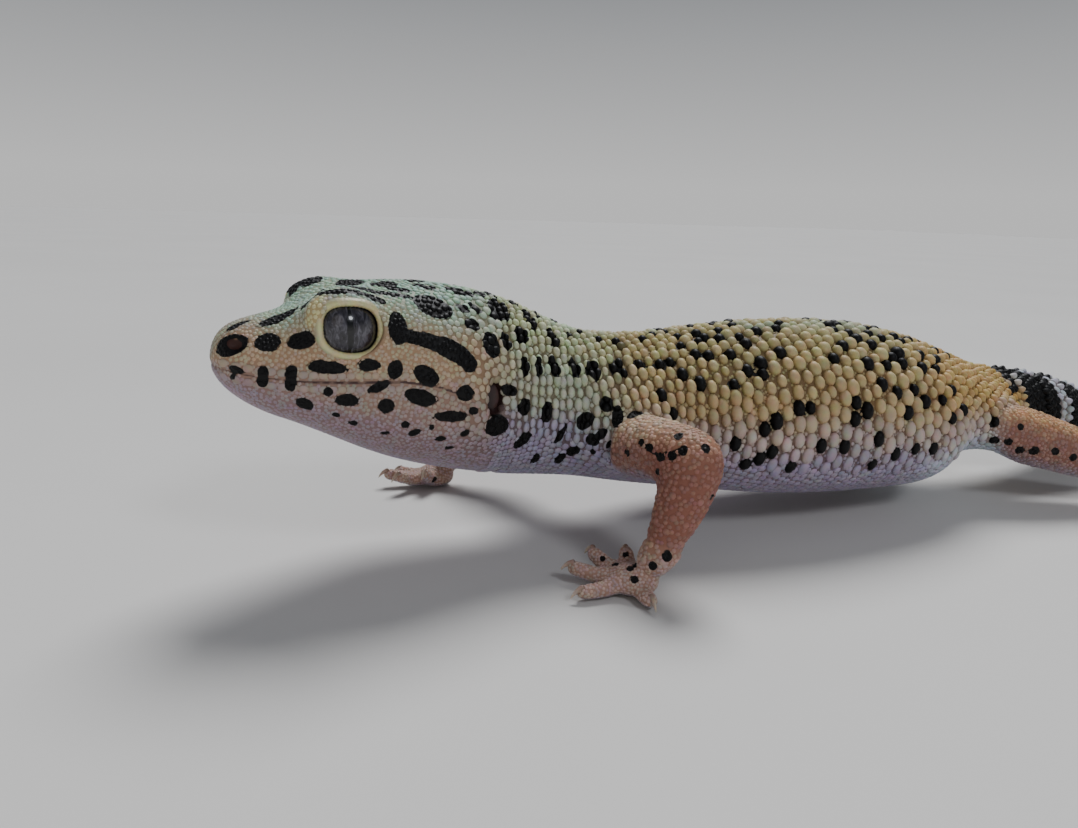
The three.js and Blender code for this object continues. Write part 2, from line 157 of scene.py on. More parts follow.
daylight = bpy.data.lights.new("daylight", "SUN")
daylight.energy = 3.1
daylight.angle = math.radians(28)
daylight.color = linear("#fbfcff")[:3]
sun = bpy.data.objects.new("daylight", daylight)
sun.rotation_euler = Vector((-0.32, -0.42, -0.78)).to_track_quat("-Z", "Y").to_euler()
bpy.context.scene.collection.objects.link(sun)


def soft_light(name, place, aim, size, watts, colour):
    """A round soft light, with its place, what it aims at and its width in metres."""
    data = bpy.data.lights.new(name, "AREA")
    data.shape = "DISK"
    data.size = size
    data.energy = watts
    data.color = linear(colour)[:3]
    light = bpy.data.objects.new(name, data)
    light.location = place
    light.rotation_euler = (Vector(aim) - Vector(place)).to_track_quat("-Z", "Y").to_euler()
    bpy.context.scene.collection.objects.link(light)


soft_light("window_light", (0.02, -0.42, 0.38), (-0.04, 0, 0.01), 0.12, 0.65, "#f3f7ff")
soft_light("front_light", (-0.45, -0.45, 0.35), (-0.03, 0, 0.01), 0.5, 0.3, "#fff4e6")

# ---- skin: the form ----------------------------------------------------------------------------------------
# One skin over the whole animal, from the lips to the tail tip and out to the toes. It is the flesh pieces
# joined with their partings healed, rounded as living flesh is, with the mouth, nostrils, ears, eye sockets
# and folds sunk into it, and drawn in everywhere by the height of the scales that stand on it.
SNOUT_X = -99.5  # mm, where the snout's tip lies
VOXEL = 0.28  # mm between samples of the distance to the skin
MARGIN = 3.0  # mm round the animal
BAND = 3.2  # mm either side of the skin where the distance is kept
HEAL = 0.3  # mm, more than half the width of a parting

# The body's middle from the snout back: [mm behind the snout, mm to the right, mm up]
SPINE = np.array([
    (0, -1.5, 25.2), (5, -1.2, 23.8), (13.5, -0.6, 22.6), (21, 0.0, 21.2), (33, 0.6, 19.4), (44, 0.5, 17.2),
    (62, -0.2, 15.0), (79, -0.8, 14.2), (97, -1.1, 13.2), (110, -0.8, 13.6), (119, -0.6, 13.4),
    (132, -0.9, 11.5), (150, -0.2, 6.8), (160, 1.2, 5.4), (172, 3.7, 4.1), (184, 7.9, 2.9), (194, 12.0, 1.9),
    (203, 16.2, 1.0),
])


def spine_at(behind):
    """How far to the right and how high the body's middle lies, in mm, at places behind the snout."""
    return np.interp(behind, SPINE[:, 0], SPINE[:, 1]), np.interp(behind, SPINE[:, 0], SPINE[:, 2])


def smooth_step(value, low, high):
    """0 below low, 1 above high, and a soft step between them."""
    t = np.clip((value - low) / (high - low), 0, 1)
    return t * t * (3 - 2 * t)


def mesh_places(mesh):
    """Where a mesh's points lie, in metres."""
    places = np.empty(len(mesh.vertices) * 3, "f4")
    mesh.vertices.foreach_get("co", places)
    return places.reshape(-1, 3)


def mesh_triangles(mesh):
    """The numbers of the points at each triangle's corners."""
    mesh.calc_loop_triangles()
    triangles = np.empty(len(mesh.loop_triangles) * 3, "i4")
    mesh.loop_triangles.foreach_get("vertices", triangles)
    return triangles.reshape(-1, 3)


def node_surface(names):
    """The points, in mm, and triangles of some CAD nodes together."""
    points, triangles, count = [], [], 0
    for name in names:
        mesh = nodes[name].data
        points.append(mesh_places(mesh) * 1000)
        triangles.append(mesh_triangles(mesh) + count)
        count += len(mesh.vertices)
    return np.concatenate(points), np.concatenate(triangles).astype("u4")


FLESH = [n for n in nodes if not n.startswith(("eye_", "eyelid_", "ear_")) and "_claw_" not in n]
FILLED = [n for n in nodes if "_claw_" not in n]
transform = openvdb.createLinearTransform(VOXEL)
corners, triangles = node_surface(FILLED)
rough = openvdb.FloatGrid.createLevelSetFromPolygons(
    corners, triangles=triangles, transform=transform, halfWidth=3
)
corners, quads = rough.convertToQuads(HEAL)
healed = openvdb.FloatGrid.createLevelSetFromPolygons(
    corners, quads=quads, transform=transform, halfWidth=BAND / VOXEL
)
low = np.floor((corners.min(0) - MARGIN) / VOXEL).astype(int)
size = np.ceil((corners.max(0) + MARGIN) / VOXEL).astype(int) - low
form = np.zeros(size, "f4")
healed.copyToArray(form, ijk=tuple(int(v) for v in low))
form += HEAL
X, Y, Z = [((np.arange(size[i]) + low[i]) * VOXEL).astype("f4") for i in range(3)]
BEHIND = X - SNOUT_X


def blurred(field, radius_mm, passes=3):
    """The field run through box filters along each axis, near enough a Gaussian of this radius."""
    width = max(3, int(round(math.sqrt(12 / passes * (radius_mm / VOXEL) ** 2 + 1))) | 1)
    out = field
    for axis in range(3):
        for _ in range(passes):
            padded = np.pad(
                out, [(width // 2 + 1, width // 2) if a == axis else (0, 0) for a in range(3)], "edge"
            )
            total = np.cumsum(padded, axis=axis, dtype="f4")
            ahead = [slice(None)] * 3
            behind = [slice(None)] * 3
            ahead[axis] = slice(width, None)
            behind[axis] = slice(None, -width)
            out = (total[tuple(ahead)] - total[tuple(behind)]) / width
    return out


FOOT_NODES = [n for n in nodes if n.endswith("_foot")]
foot_boxes = {n: np.array(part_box(n)) * 1000 for n in FOOT_NODES}
# Half the width of head, trunk and tail without the legs, from above
WIDTH_AT = [0, 13, 25, 41, 52, 79, 97, 110, 119, 140, 172, 204]
HALF_WIDTHS = [2, 9, 10.5, 9, 11.5, 15.2, 13.2, 9.5, 7, 7.6, 5, 1]
half_width = np.interp(BEHIND, WIDTH_AT, HALF_WIDTHS)
spine_y, _ = spine_at(BEHIND)
from_side = np.abs(Y[None, :] - spine_y[:, None]) - half_width[:, None]
trunk_share = smooth_step(BEHIND, 33, 45)[:, None] * smooth_step(-BEHIND, -160, -135)[:, None]
trunk_share = (trunk_share * (1 - smooth_step(from_side, -1.0, 2.5))).astype("f4")[:, :, None]
foot_share = np.zeros(size, "f4")
for box in foot_boxes.values():
    lo, hi = box
    reach = [
        smooth_step(axis, lo[i] - 4, lo[i] - 1) * (1 - smooth_step(axis, hi[i] + 0.5, hi[i] + 3))
        for i, axis in enumerate((X, Y, Z))
    ]
    near = reach[0][:, None, None] * reach[1][None, :, None] * reach[2][None, None, :]
    foot_share = np.maximum(foot_share, near.astype("f4"))
tail_tip = smooth_step(BEHIND, 182, 196).astype("f4")[:, None, None]
foot_share = np.maximum(foot_share, tail_tip)

# Flesh rounds the corners off: most on the trunk, least on the toes and the tail's tip, in mm
ROUND_BODY, ROUND_TRUNK, ROUND_FEET = 0.95, 1.9, 0.22
firm = blurred(form, ROUND_BODY)
feet = foot_share * (blurred(form, ROUND_FEET, passes=1) - firm)
trunk = trunk_share * (blurred(form, ROUND_TRUNK) - firm) * (1 - foot_share)
form = firm + feet + trunk
del firm, feet, trunk


def part_of(low_corner, high_corner):
    """The block of the field between two corners, in mm behind, to the right and up, with its coordinates."""
    start = [np.searchsorted(axis, v) for axis, v in zip((BEHIND, Y, Z), low_corner)]
    stop = [np.searchsorted(axis, v) for axis, v in zip((BEHIND, Y, Z), high_corner)]
    block = tuple(slice(a, b) for a, b in zip(start, stop))
    return block, BEHIND[block[0]][:, None, None], Y[block[1]][None, :, None], Z[block[2]][None, None, :]


# The closed mouth from the side: [mm behind the snout, mm up], from the snout back to its corner
MOUTH = np.array([
    (-1, 24.9), (1.2, 24.6), (4.7, 24.0), (9, 23.6), (14, 23.5), (18.5, 23.5), (22, 23.0), (24.4, 22.1),
    (26, 21.0),
])
EYE = {"behind": 13.3, "aside": 5.75, "up": 28.9, "radius": 3.42}
EYE_ROOM = 0.2  # mm of flesh round the ball
LID = {"behind": 13.5, "up": 29.0, "half_length": 3.3, "half_height": 2.84, "half_width": 0.38}
EAR = {"behind": 29.2, "aside": 10.2, "up": 20.9, "radii": (1.2, 2.1, 2.15)}
NOSTRIL = {"behind": 2.45, "aside": 3.9, "up": 27.2, "radii": (0.95, 1.0, 0.68)}


def sink(centre, reach, amount):
    """Sinks the skin, or raises it where the amount is negative, in a soft round patch."""
    reach = np.array(reach)
    block, b, y, z = part_of(np.array(centre) - 2.6 * reach, np.array(centre) + 2.6 * reach)
    far = ((b - centre[0]) / reach[0]) ** 2
    far = far + ((y - centre[1]) / reach[1]) ** 2 + ((z - centre[2]) / reach[2]) ** 2
    form[block] += (amount * np.exp(-far)).astype("f4")


def crease(path, amount, width):
    """Sinks a crease along a path of points, deepest in its middle."""
    path = np.array(path, float)
    steps = 14 * (len(path) - 1)
    at = np.linspace(0, len(path) - 1, steps)
    line = np.stack([np.interp(at, range(len(path)), path[:, k]) for k in range(3)], 1)
    block, b, y, z = part_of(line.min(0) - 3 * width, line.max(0) + 3 * width)
    nearest = np.full(form[block].shape, 1e3, "f4")
    for i, (cb, cy, cz) in enumerate(line):
        fade = math.sin(math.pi * (i + 1) / (steps + 1)) ** 0.5
        distance = ((b - cb) ** 2 + (y - cy) ** 2 + (z - cz) ** 2) / (width * fade + 0.01) ** 2
        nearest = np.minimum(nearest, distance)
    form[block] += (amount * np.exp(-nearest)).astype("f4")


def ball(centre, radii, soft, sign):
    """Adds an ellipsoid to the form (sign -1) or cuts it out (sign 1), with a softened join."""
    radii = np.array(radii)
    block, b, y, z = part_of(np.array(centre) - radii - 1.5, np.array(centre) + radii + 1.5)
    far = ((b - centre[0]) / radii[0]) ** 2
    far = far + ((y - centre[1]) / radii[1]) ** 2 + ((z - centre[2]) / radii[2]) ** 2
    new = (1 - np.sqrt(far)) * radii.min() * sign
    old = form[block] * sign
    share = np.clip(0.5 + 0.5 * (new * sign - old) / soft, 0, 1)
    joined = old * (1 - share) + new * sign * share + soft * share * (1 - share)
    form[block] = (joined * sign).astype("f4")


# The skin sinks in by the coat's depth: mm at places behind the snout, less on the legs and least on the feet
DEPTH_AT = [0, 10, 30, 40, 60, 150, 185, 200]
coat_depth = np.interp(BEHIND, DEPTH_AT, [0.05, 0.08, 0.16, 0.4, 0.62, 0.45, 0.3, 0.12])
on_leg = smooth_step(from_side, 0.5, 3.0)
depth = coat_depth[:, None] * (1 - on_leg) + 0.3 * on_leg
full_toes = -0.14 * smooth_step(Z, 0.2, 0.9).astype("f4")[None, None, :] * (1 - tail_tip)
form += depth.astype("f4")[:, :, None] * (1 - foot_share) + full_toes * foot_share

# The mouth is a fine groove between full lips, which fades past its corner
block, b, y, z = part_of((-1, -14, 18), (27, 14, 27))
lip = np.interp(b, MOUTH[:, 0], MOUTH[:, 1])
fade = 1 - 0.45 * smooth_step(b, 14, 19) - 0.55 * smooth_step(b, 22.5, 26.5)
fade *= 0.55 + 0.45 * smooth_step(b, 3, 11)
groove = 0.3 * np.exp(-(((z - lip) / 0.24) ** 2))
full_lip = 0.16 * np.exp(-(((z - lip) / 1.3) ** 2))
form[block] += (fade * (groove - full_lip)).astype("f4")

# Folds of loose skin behind the jaw, down the neck, before and behind the shoulder, and at the groin:
# depth, width, then places down the fold, each [mm behind the snout, mm out from the spine, mm up]
FOLDS = [
    (0.45, 0.55, (24.6, 11, 21.6), (26.2, 11.2, 19.6), (27.4, 11, 17)),
    (0.65, 0.7, (33.5, 9.5, 25), (34.4, 10.2, 19), (33.6, 9, 13)),
    (0.7, 0.7, (38.5, 8.2, 24), (39.4, 9.4, 17), (38.6, 7.6, 11)),
    (0.7, 0.8, (42.8, 9.4, 20), (43.4, 10.6, 14.5), (42.6, 9, 9.5)),
    (0.65, 0.55, (41.3, 8.9, 20), (39.2, 9.1, 14), (36, 7.6, 10)),
    (0.65, 0.55, (43.5, 9.3, 19.5), (41.2, 9.4, 13.5), (38, 7.5, 9.3)),
    (0.65, 0.55, (45.7, 10, 18.5), (43.6, 10.2, 12.5), (40.8, 8, 8.2)),
    (0.5, 0.55, (36.1, 9.4, 23), (36.9, 9.7, 18), (35.6, 8.4, 12)),
    (0.6, 0.9, (53.5, 12.5, 17.5), (54.5, 13.4, 12.5), (53.2, 12, 8)),
    (0.9, 1.1, (103.5, 11.8, 14.5), (105.2, 11.6, 10), (106, 9.5, 5.5)),
]
for side in (-1, 1):
    spine_shift = float(spine_at(EYE["behind"])[0])
    eye_centre = (EYE["behind"], spine_shift + side * EYE["aside"], EYE["up"])
    ball(eye_centre, [EYE["radius"] + EYE_ROOM] * 3, 0.7, -1)
    # the brow stands up before the eye and over it
    sink((9.9, spine_shift + side * 6.8, 31.1), (1.5, 1.8, 1.7), -0.75)
    sink((12.6, spine_shift + side * 5.4, 32.6), (2.8, 1.9, 1.2), -0.4)
    opening = (LID["behind"], spine_shift + side * 8.0, LID["up"])
    ball(opening, (LID["half_length"], 3.0, LID["half_height"]), 0.12, 1)
    ear_centre = (EAR["behind"], float(spine_at(EAR["behind"])[0]) + side * EAR["aside"], EAR["up"])
    ball(ear_centre, EAR["radii"], 0.35, 1)
    sink((EAR["behind"] - 1.9, ear_centre[1], EAR["up"]), (1.0, 2.5, 2.6), -0.3)
    nostril_y = float(spine_at(2.5)[0]) + side * NOSTRIL["aside"]
    ball((NOSTRIL["behind"], nostril_y, NOSTRIL["up"]), NOSTRIL["radii"], 0.25, 1)
    for depth, width, *path in FOLDS:
        crease([(b, float(spine_at(b)[0]) + side * aside, up) for b, aside, up in path], depth, width)
for up in (12.8, 11.6):  # across the throat
    crease([(30 + up / 4, -7, up + 2), (28 + up / 4, 0, up - 3), (30 + up / 4, 7, up + 2)], 0.35, 0.6)

grid = openvdb.FloatGrid(BAND)
grid.transform = transform
grid.copyFromArray(np.clip(form, -BAND, BAND), ijk=tuple(int(v) for v in low))
skin_points, _, skin_quads = grid.convertToPolygons(0.0, adaptivity=0.0)
skin = mesh_object("skin", skin_points, [tuple(int(i) for i in q) for q in skin_quads])

# Fine faces stay on the head and the feet, and larger ones do under the trunk's scales
SKIN_TRIANGLES = 185000
group = skin.vertex_groups.new(name="coarse")
behind = skin_points[:, 0] - SNOUT_X
coarse = smooth_step(behind, 30, 42)
for box in foot_boxes.values():
    inside = ((skin_points > box[0] - 1.5) & (skin_points < box[1] + 1.5)).all(1)
    coarse[inside] = 0.15
weights = np.round(0.1 + 0.9 * coarse, 1)
for weight in np.unique(weights):
    group.add([int(i) for i in np.flatnonzero(weights == weight)], float(weight), "REPLACE")
thin = skin.modifiers.new("thin", "DECIMATE")
thin.ratio = min(1.0, SKIN_TRIANGLES / (2 * len(skin_quads)))
thin.vertex_group = "coarse"
thin.vertex_group_factor = 2.0
flat = bpy.data.meshes.new_from_object(skin.evaluated_get(bpy.context.evaluated_depsgraph_get()))
skin.modifiers.clear()
skin.vertex_groups.clear()
skin.data = flat
flat.polygons.foreach_set("use_smooth", np.ones(len(flat.polygons), bool))
skin_points = mesh_places(flat) * 1000
skin_points[:, 2] = np.maximum(skin_points[:, 2], 0)
flat.vertices.foreach_set("co", (skin_points * 0.001).ravel())


def field_at(points):
    """The signed distance to the skin at some points, in mm, between the samples."""
    at = points / VOXEL - low
    at = np.clip(at, 0, np.array(form.shape) - 1.001)
    base = at.astype(int)
    part = (at - base).astype("f4")
    total = np.zeros(len(points), "f4")
    for dx in (0, 1):
        for dy in (0, 1):
            for dz in (0, 1):
                share = np.where(dx, part[:, 0], 1 - part[:, 0])
                share = share * np.where(dy, part[:, 1], 1 - part[:, 1])
                share = share * np.where(dz, part[:, 2], 1 - part[:, 2])
                total += share * form[base[:, 0] + dx, base[:, 1] + dy, base[:, 2] + dz]
    return total


def normal_at(points, reach=0.35):
    """The direction straight out of the skin at some points."""
    step = np.eye(3) * reach
    slope = np.stack([field_at(points + step[k]) - field_at(points - step[k]) for k in range(3)], 1)
    return slope / np.maximum(np.linalg.norm(slope, axis=1, keepdims=True), 1e-9)


def onto_skin(start, ahead, furthest):
    """How far each ray from inside the body goes before it leaves the skin."""
    steps = np.arange(0.2, furthest, 0.3)
    reached = np.full(len(start), furthest)
    last = field_at(start + ahead * steps[0])
    open_rays = np.ones(len(start), bool)
    for near, far in zip(steps[:-1], steps[1:]):
        value = field_at(start + ahead * far)
        crossed = open_rays & (value > 0)
        share = -last[crossed] / np.maximum(value - last, 1e-6)[crossed]
        reached[crossed] = near + (far - near) * np.clip(share, 0, 1)
        open_rays &= ~crossed
        last = value
    return reached


def round_body(behind, degrees):
    """Points on the skin at these mm behind the snout and degrees round from the top, left positive."""
    behind = np.atleast_1d(np.asarray(behind, float))
    turn = np.radians(np.atleast_1d(np.asarray(degrees, float)))
    y, z = spine_at(behind)
    start = np.stack([behind + SNOUT_X, y, z], 1)
    ahead = np.stack([np.zeros(len(turn)), -np.sin(turn), np.cos(turn)], 1)
    return start + ahead * onto_skin(start, ahead, 24.0)[:, None]


# ---- markings ----------------------------------------------------------------------------------------------
# The animal's colours: cream on the head under a mint sheen, partly painted cool light from above, ochre over
# the back, lavender below, orange legs, a grey-white tail. Black spots lie over them, listed for the left side
# and scattered likewise over the rest.

# The marks on the left. Most of their places were picked by eye and turned into the body's own measures by a
# small separate program, so the four lists are a table and not a rule.
# Spots: [mm behind the snout, degrees round from the top, half length, half height in mm, degrees of tilt]
SPOTS = [
    # snout and cheek
    (2.2, 50, 1.65, 1.1, -6), (5.6, 50, 1.25, 1.0, 0), (8.9, 53, 1.55, 0.85, -3), (2.4, 87, 0.75, 0.4, 0),
    (2.1, 100, 0.3, 0.3, 0), (11.0, 74, 1.85, 0.65, 6), (15.1, 71, 1.1, 0.58, 2),
    (17.8, 72, 0.75, 0.95, 15), (21.0, 74, 1.4, 0.92, 37), (25.2, 82, 0.95, 0.85, 0),
    (16.1, 84, 1.1, 0.48, -18), (20.3, 87, 1.65, 0.82, 18), (11.0, 92, 0.5, 0.5, 0),
    (12.9, 97, 1.2, 0.62, 0), (16.8, 96, 0.82, 0.78, -17), (23.5, 96, 1.75, 0.58, 3),
    (26.2, 92, 0.5, 0.4, 30), (8.8, 107, 0.88, 0.62, 22), (11.8, 111, 0.38, 0.28, 0),
    (13.6, 115, 0.4, 0.28, -14), (16.9, 116, 0.45, 0.22, -20), (18.8, 106, 0.38, 0.38, 0),
    (19.8, 110, 0.65, 0.38, -25), (21.5, 104, 0.25, 0.3, 0), (22.6, 111, 0.55, 0.32, -16),
    (23.8, 118, 0.42, 0.25, -10), (25.3, 106, 0.48, 0.38, -14),
    # crown, brows and temple
    (3.0, 17, 1.1, 0.45, -10), (7.0, 24, 2.1, 0.7, -11), (10.1, 27, 1.3, 0.8, -25),
    (11.5, -27, 1.4, 1.8, -20), (9.7, -36, 0.8, 1.0, 0), (12.4, 2, 1.0, 1.4, 0), (15.4, -5, 1.5, 2.4, 0),
    (15.4, 27, 2.0, 0.7, 2), (18.4, 12, 1.5, 1.5, 15), (18.4, 27, 2.1, 0.42, 4), (19.6, 21, 1.2, 0.5, 11),
    (19.3, -12, 1.2, 1.4, 10), (22.4, 2, 1.3, 0.9, 10), (22.9, 14, 1.35, 0.7, 12), (22.8, 33, 2.2, 1.6, 25),
    (23.9, -12, 1.2, 1.1, 0), (26.4, 31, 0.82, 0.6, 22), (28.1, 28, 0.92, 0.62, 40),
    (27.0, 41, 0.86, 0.7, 18), (27.0, 14, 1.8, 1.0, 14), (27.2, -3, 1.1, 0.9, 0), (18.3, 49, 1.05, 1.7, 0),
    (29.1, 51, 1.15, 1.5, -10), (31.1, 46, 0.6, 1.05, -9), (31.4, 23, 1.5, 1.9, 8),
    (29.9, 10, 0.7, 0.9, 35), (31.6, 4, 0.9, 1.0, 0),
    # behind the ear and down the neck
    (33.4, 38, 0.95, 1.15, -6), (33.2, 60, 0.65, 1.1, 5), (35.1, 58, 0.52, 1.15, 5),
    (37.4, 54, 0.6, 1.25, -8), (40.2, 52, 0.6, 1.3, -6), (42.7, 52, 0.88, 1.4, -6),
    (45.9, 49, 0.85, 1.4, 0), (35.6, 20, 0.75, 1.7, -9), (38.2, 30, 0.72, 1.3, -10), (34.5, 5, 0.7, 0.9, 0),
    (37.6, 9, 0.6, 0.9, 0), (41.1, 19, 0.6, 0.55, 5), (40.2, 2, 0.7, 0.7, 0), (43.2, 9, 0.6, 0.7, 0),
    (45.6, 15, 0.7, 0.7, 0), (48.0, 20, 0.7, 0.7, 10), (29.3, 102, 1.65, 1.15, 9), (30.9, 78, 1.1, 0.6, 10),
    (33.0, 89, 0.88, 1.0, 7), (36.1, 91, 0.8, 1.2, 5), (33.2, 115, 0.75, 1.2, 43),
    (35.7, 134, 0.55, 0.85, 6), (39.0, 132, 0.6, 0.95, 3), (38.2, 108, 0.4, 1.35, 27),
    (41.1, 93, 0.85, 1.15, 40), (43.7, 78, 0.75, 0.9, -7), (44.5, 86, 0.65, 1.25, 25),
    (42.2, 106, 0.75, 0.8, 49), (42.9, 100, 0.5, 0.85, 60), (43.8, 104, 0.28, 0.55, 0),
    (40.3, 121, 0.65, 0.85, 36), (42.3, 115, 0.32, 0.45, 0), (46.3, 83, 1.0, 0.6, 0),
]
# Whole black beads on the trunk: [mm behind the snout, degrees round from the top]
BEAD_SPOTS = [
    (49.5, 42), (51.6, 45), (51.0, 72), (51.6, 77), (53.7, 44), (53.8, 57), (55.9, 59), (56.1, 25),
    (56.8, 40), (58.7, 25), (59.5, 36), (60.0, 57), (60.0, 93), (60.6, 22), (61.6, 116), (62.3, 35),
    (62.7, 22), (62.7, 54), (63.5, 108), (64.3, 33), (64.5, 89), (64.8, 83), (64.9, 57), (65.0, 21),
    (65.6, 51), (66.2, 99), (67.9, 18), (68.9, 76), (69.0, 38), (69.1, 107), (70.0, 79), (71.8, 13),
    (72.5, 96), (76.2, 100), (76.4, 44), (77.6, 75), (77.9, 80), (80.0, 39), (80.2, 77), (80.4, 10),
    (80.8, 17), (81.2, 108), (81.7, 49), (81.7, 93), (82.6, 30), (83.1, 58), (83.8, 22), (85.2, 33),
    (85.5, 50), (85.7, 101), (85.9, 20), (86.1, 65), (87.3, 41), (87.5, 80), (88.0, 63), (88.5, 51),
    (89.1, 97), (89.3, 25), (89.4, 42), (90.7, 68), (91.6, 102), (91.7, 51), (93.7, 36), (94.5, 67),
    (93.2, 26), (95.4, 14), (96.1, 82), (96.2, 44), (96.9, 36), (98.1, 62), (99.7, 81), (100.2, 24),
    (104.5, 23), (52.6, 14), (54.6, 5), (57.4, 12), (60.2, 8), (63.8, 10), (66.6, 3), (75.0, 4), (84.4, 8),
    (88.2, 12), (91.4, 8), (92.6, 17), (98.0, 12), (86.4, -2),
]
# Long marks: a band between two places, each [mm behind, degrees], and its half width in mm
BANDS = [
    (4.9, 81, 4.8, 93, 0.5), (7.6, 78, 7.4, 92, 0.52), (18.4, 52, 21.0, 54, 0.68),
    (21.0, 54, 23.2, 57, 0.8), (23.2, 57, 25.0, 61, 1.05), (24.8, 60, 25.9, 65, 0.92),
    (9.8, 29, 11.0, 32, 0.42), (11.0, 32, 12.4, 34.5, 0.4), (12.4, 34.5, 14.8, 34.5, 0.42),
    (14.8, 34.5, 17.0, 35.5, 0.42), (9.5, -30, 10.4, -40, 0.4), (30.3, 30, 31.3, 15, 0.5),
    (17.0, -20, 18.6, -34, 0.5),
]
# Round marks on the left legs and forefoot: [mm behind the snout, mm out from the spine, mm up, radius in mm]
LEG_MARKS = [
    (44.0, 16.5, 16.3, 0.42), (44.3, 17.9, 16.2, 0.5), (44.5, 19.4, 15.7, 0.58), (46.4, 20.4, 18.3, 0.5),
    (45.2, 21.2, 16.3, 0.55), (45.9, 21.8, 16.8, 0.55), (48.2, 23.4, 17.7, 0.5), (43.2, 14.6, 14.4, 0.4),
    (44.9, 19.0, 13.6, 0.36), (44.1, 23.5, 5.6, 0.55), (42.9, 22.8, 4.3, 0.45), (40.6, 15.9, 2.6, 0.28),
    (41.1, 17.8, 2.5, 0.36), (42.8, 16.9, 3.2, 0.34), (41.4, 20.5, 3.1, 0.4), (41.2, 21.7, 2.5, 0.42),
    (42.3, 20.6, 3.2, 0.34), (107.3, 11.1, 13.5, 0.95), (108.0, 11.3, 10.0, 0.5), (109.5, 12.3, 10.0, 0.55),
    (111.2, 12.9, 8.8, 0.65), (113.2, 14.3, 9.0, 0.7), (116.0, 15.9, 9.0, 0.55), (118.3, 16.9, 8.3, 0.55),
    (121.5, 18.0, 8.0, 0.5), (128.0, 21.0, 7.0, 0.5), (135.0, 24.5, 5.0, 0.45), (110.4, 14.5, 13.0, 0.5),
]
# The rest is drawn at random: beads over the spine, small dots on the legs, all from a fixed seed
rng = np.random.default_rng(7)
BACK_BEADS = 26
LEG_DOTS = 240  # tried; those that stand clear of each other and of the marks are kept
DOT_APART, DOT_FROM_MARK = 3.2, 5  # mm


def value_noise(points, size_mm, seed=0):
    """Smooth noise from -1 to 1 that changes over about size_mm."""
    at = points / size_mm + seed * 17.3
    base = np.floor(at).astype(np.int64)
    part = at - base
    part = part * part * (3 - 2 * part)
    total = np.zeros(len(points))
    for dx in (0, 1):
        for dy in (0, 1):
            for dz in (0, 1):
                corner = base + (dx, dy, dz)
                mixed = corner[:, 0] * 73856093 ^ corner[:, 1] * 19349663 ^ corner[:, 2] * 83492791
                mixed = (mixed ^ (mixed >> 13)) * 1274126177 & 0x7FFFFFFF
                value = (mixed >> 8) / float(0x7FFFFF) * 2 - 1
                share = np.where(dx, part[:, 0], 1 - part[:, 0]) * np.where(dy, part[:, 1], 1 - part[:, 1])
                total += value * share * np.where(dz, part[:, 2], 1 - part[:, 2])
    return total


def oval_marks(rows):
    """Ovals on the skin, as [centre, axis along, axis round, half length, half height]."""
    rows = np.array(rows, float)
    centre = round_body(rows[:, 0], rows[:, 1])
    out = normal_at(centre)
    along = np.cross(np.stack([np.zeros(len(out)), out[:, 2], -out[:, 1]], 1), out)
    along /= np.linalg.norm(along, axis=1, keepdims=True)
    down = np.cross(out, along)
    down *= np.where((down[:, 2] > 0), -1, 1)[:, None]
    tilt = np.radians(rows[:, 4])[:, None]
    turned = along * np.cos(tilt) + down * np.sin(tilt)
    return centre, turned, down * np.cos(tilt) - along * np.sin(tilt), rows[:, 2:4]


def other_side(rows):
    """Like spots for the right side, none of them the exact mirror of one on the left."""
    rows = np.array(rows, float)
    rows = rows[rows[:, 1] > 24]
    moved = rows.copy()
    moved[:, 0] += rng.uniform(-1.1, 1.1, len(rows))
    moved[:, 1] = -rows[:, 1] + rng.uniform(-5, 5, len(rows))
    return moved


ovals = np.concatenate([SPOTS, other_side(SPOTS)])
bands = np.array(BANDS)
mirrored = bands[bands[:, 1] > 20]
mirrored[:, [1, 3]] *= -1
bands = np.concatenate([bands, mirrored])
BEAD = (0.8, 0.8, 0)  # half length, half height and tilt of a black bead's mark
beads = np.array([(*place, *BEAD) for place in BEAD_SPOTS])
right_beads = other_side(beads)
scattered = zip(rng.uniform(50, 108, BACK_BEADS), rng.uniform(-28, -4, BACK_BEADS))
beads = np.concatenate([beads, right_beads, [(*place, *BEAD) for place in scattered]])

oval_centre, oval_along, oval_down, oval_half = oval_marks(np.concatenate([ovals, beads]))
band_start, band_end = round_body(bands[:, 0], bands[:, 1]), round_body(bands[:, 2], bands[:, 3])

# Small dark dots on the legs and feet, and ragged blotches over the tail
leg_vertices = skin_points[
    (np.abs(np.interp(skin_points[:, 0] - SNOUT_X, BEHIND, spine_y) - skin_points[:, 1])
     > np.interp(skin_points[:, 0] - SNOUT_X, BEHIND, half_width) + 1.5)
]
dots = leg_vertices[rng.permutation(len(leg_vertices))[:LEG_DOTS]]
dot_radius = rng.uniform(0.28, 0.62, len(dots))
leg_marks = np.array(LEG_MARKS)
leg_mark_y = spine_at(leg_marks[:, 0])[0] - leg_marks[:, 1]
placed = np.stack([leg_marks[:, 0] + SNOUT_X, leg_mark_y, leg_marks[:, 2]], 1)
placed = np.array([skin_points[np.argmin(((skin_points - mark) ** 2).sum(1))] for mark in placed])
kept = []
for i in range(len(dots)):
    clear_of_marks = np.linalg.norm(placed - dots[i], axis=1).min() > DOT_FROM_MARK
    if clear_of_marks and all(np.linalg.norm(dots[i] - dots[j]) > DOT_APART for j in kept):
        kept.append(i)
dots = np.concatenate([placed, dots[kept]])
dot_radius = np.concatenate([leg_marks[:, 3], dot_radius[kept] * 0.85])


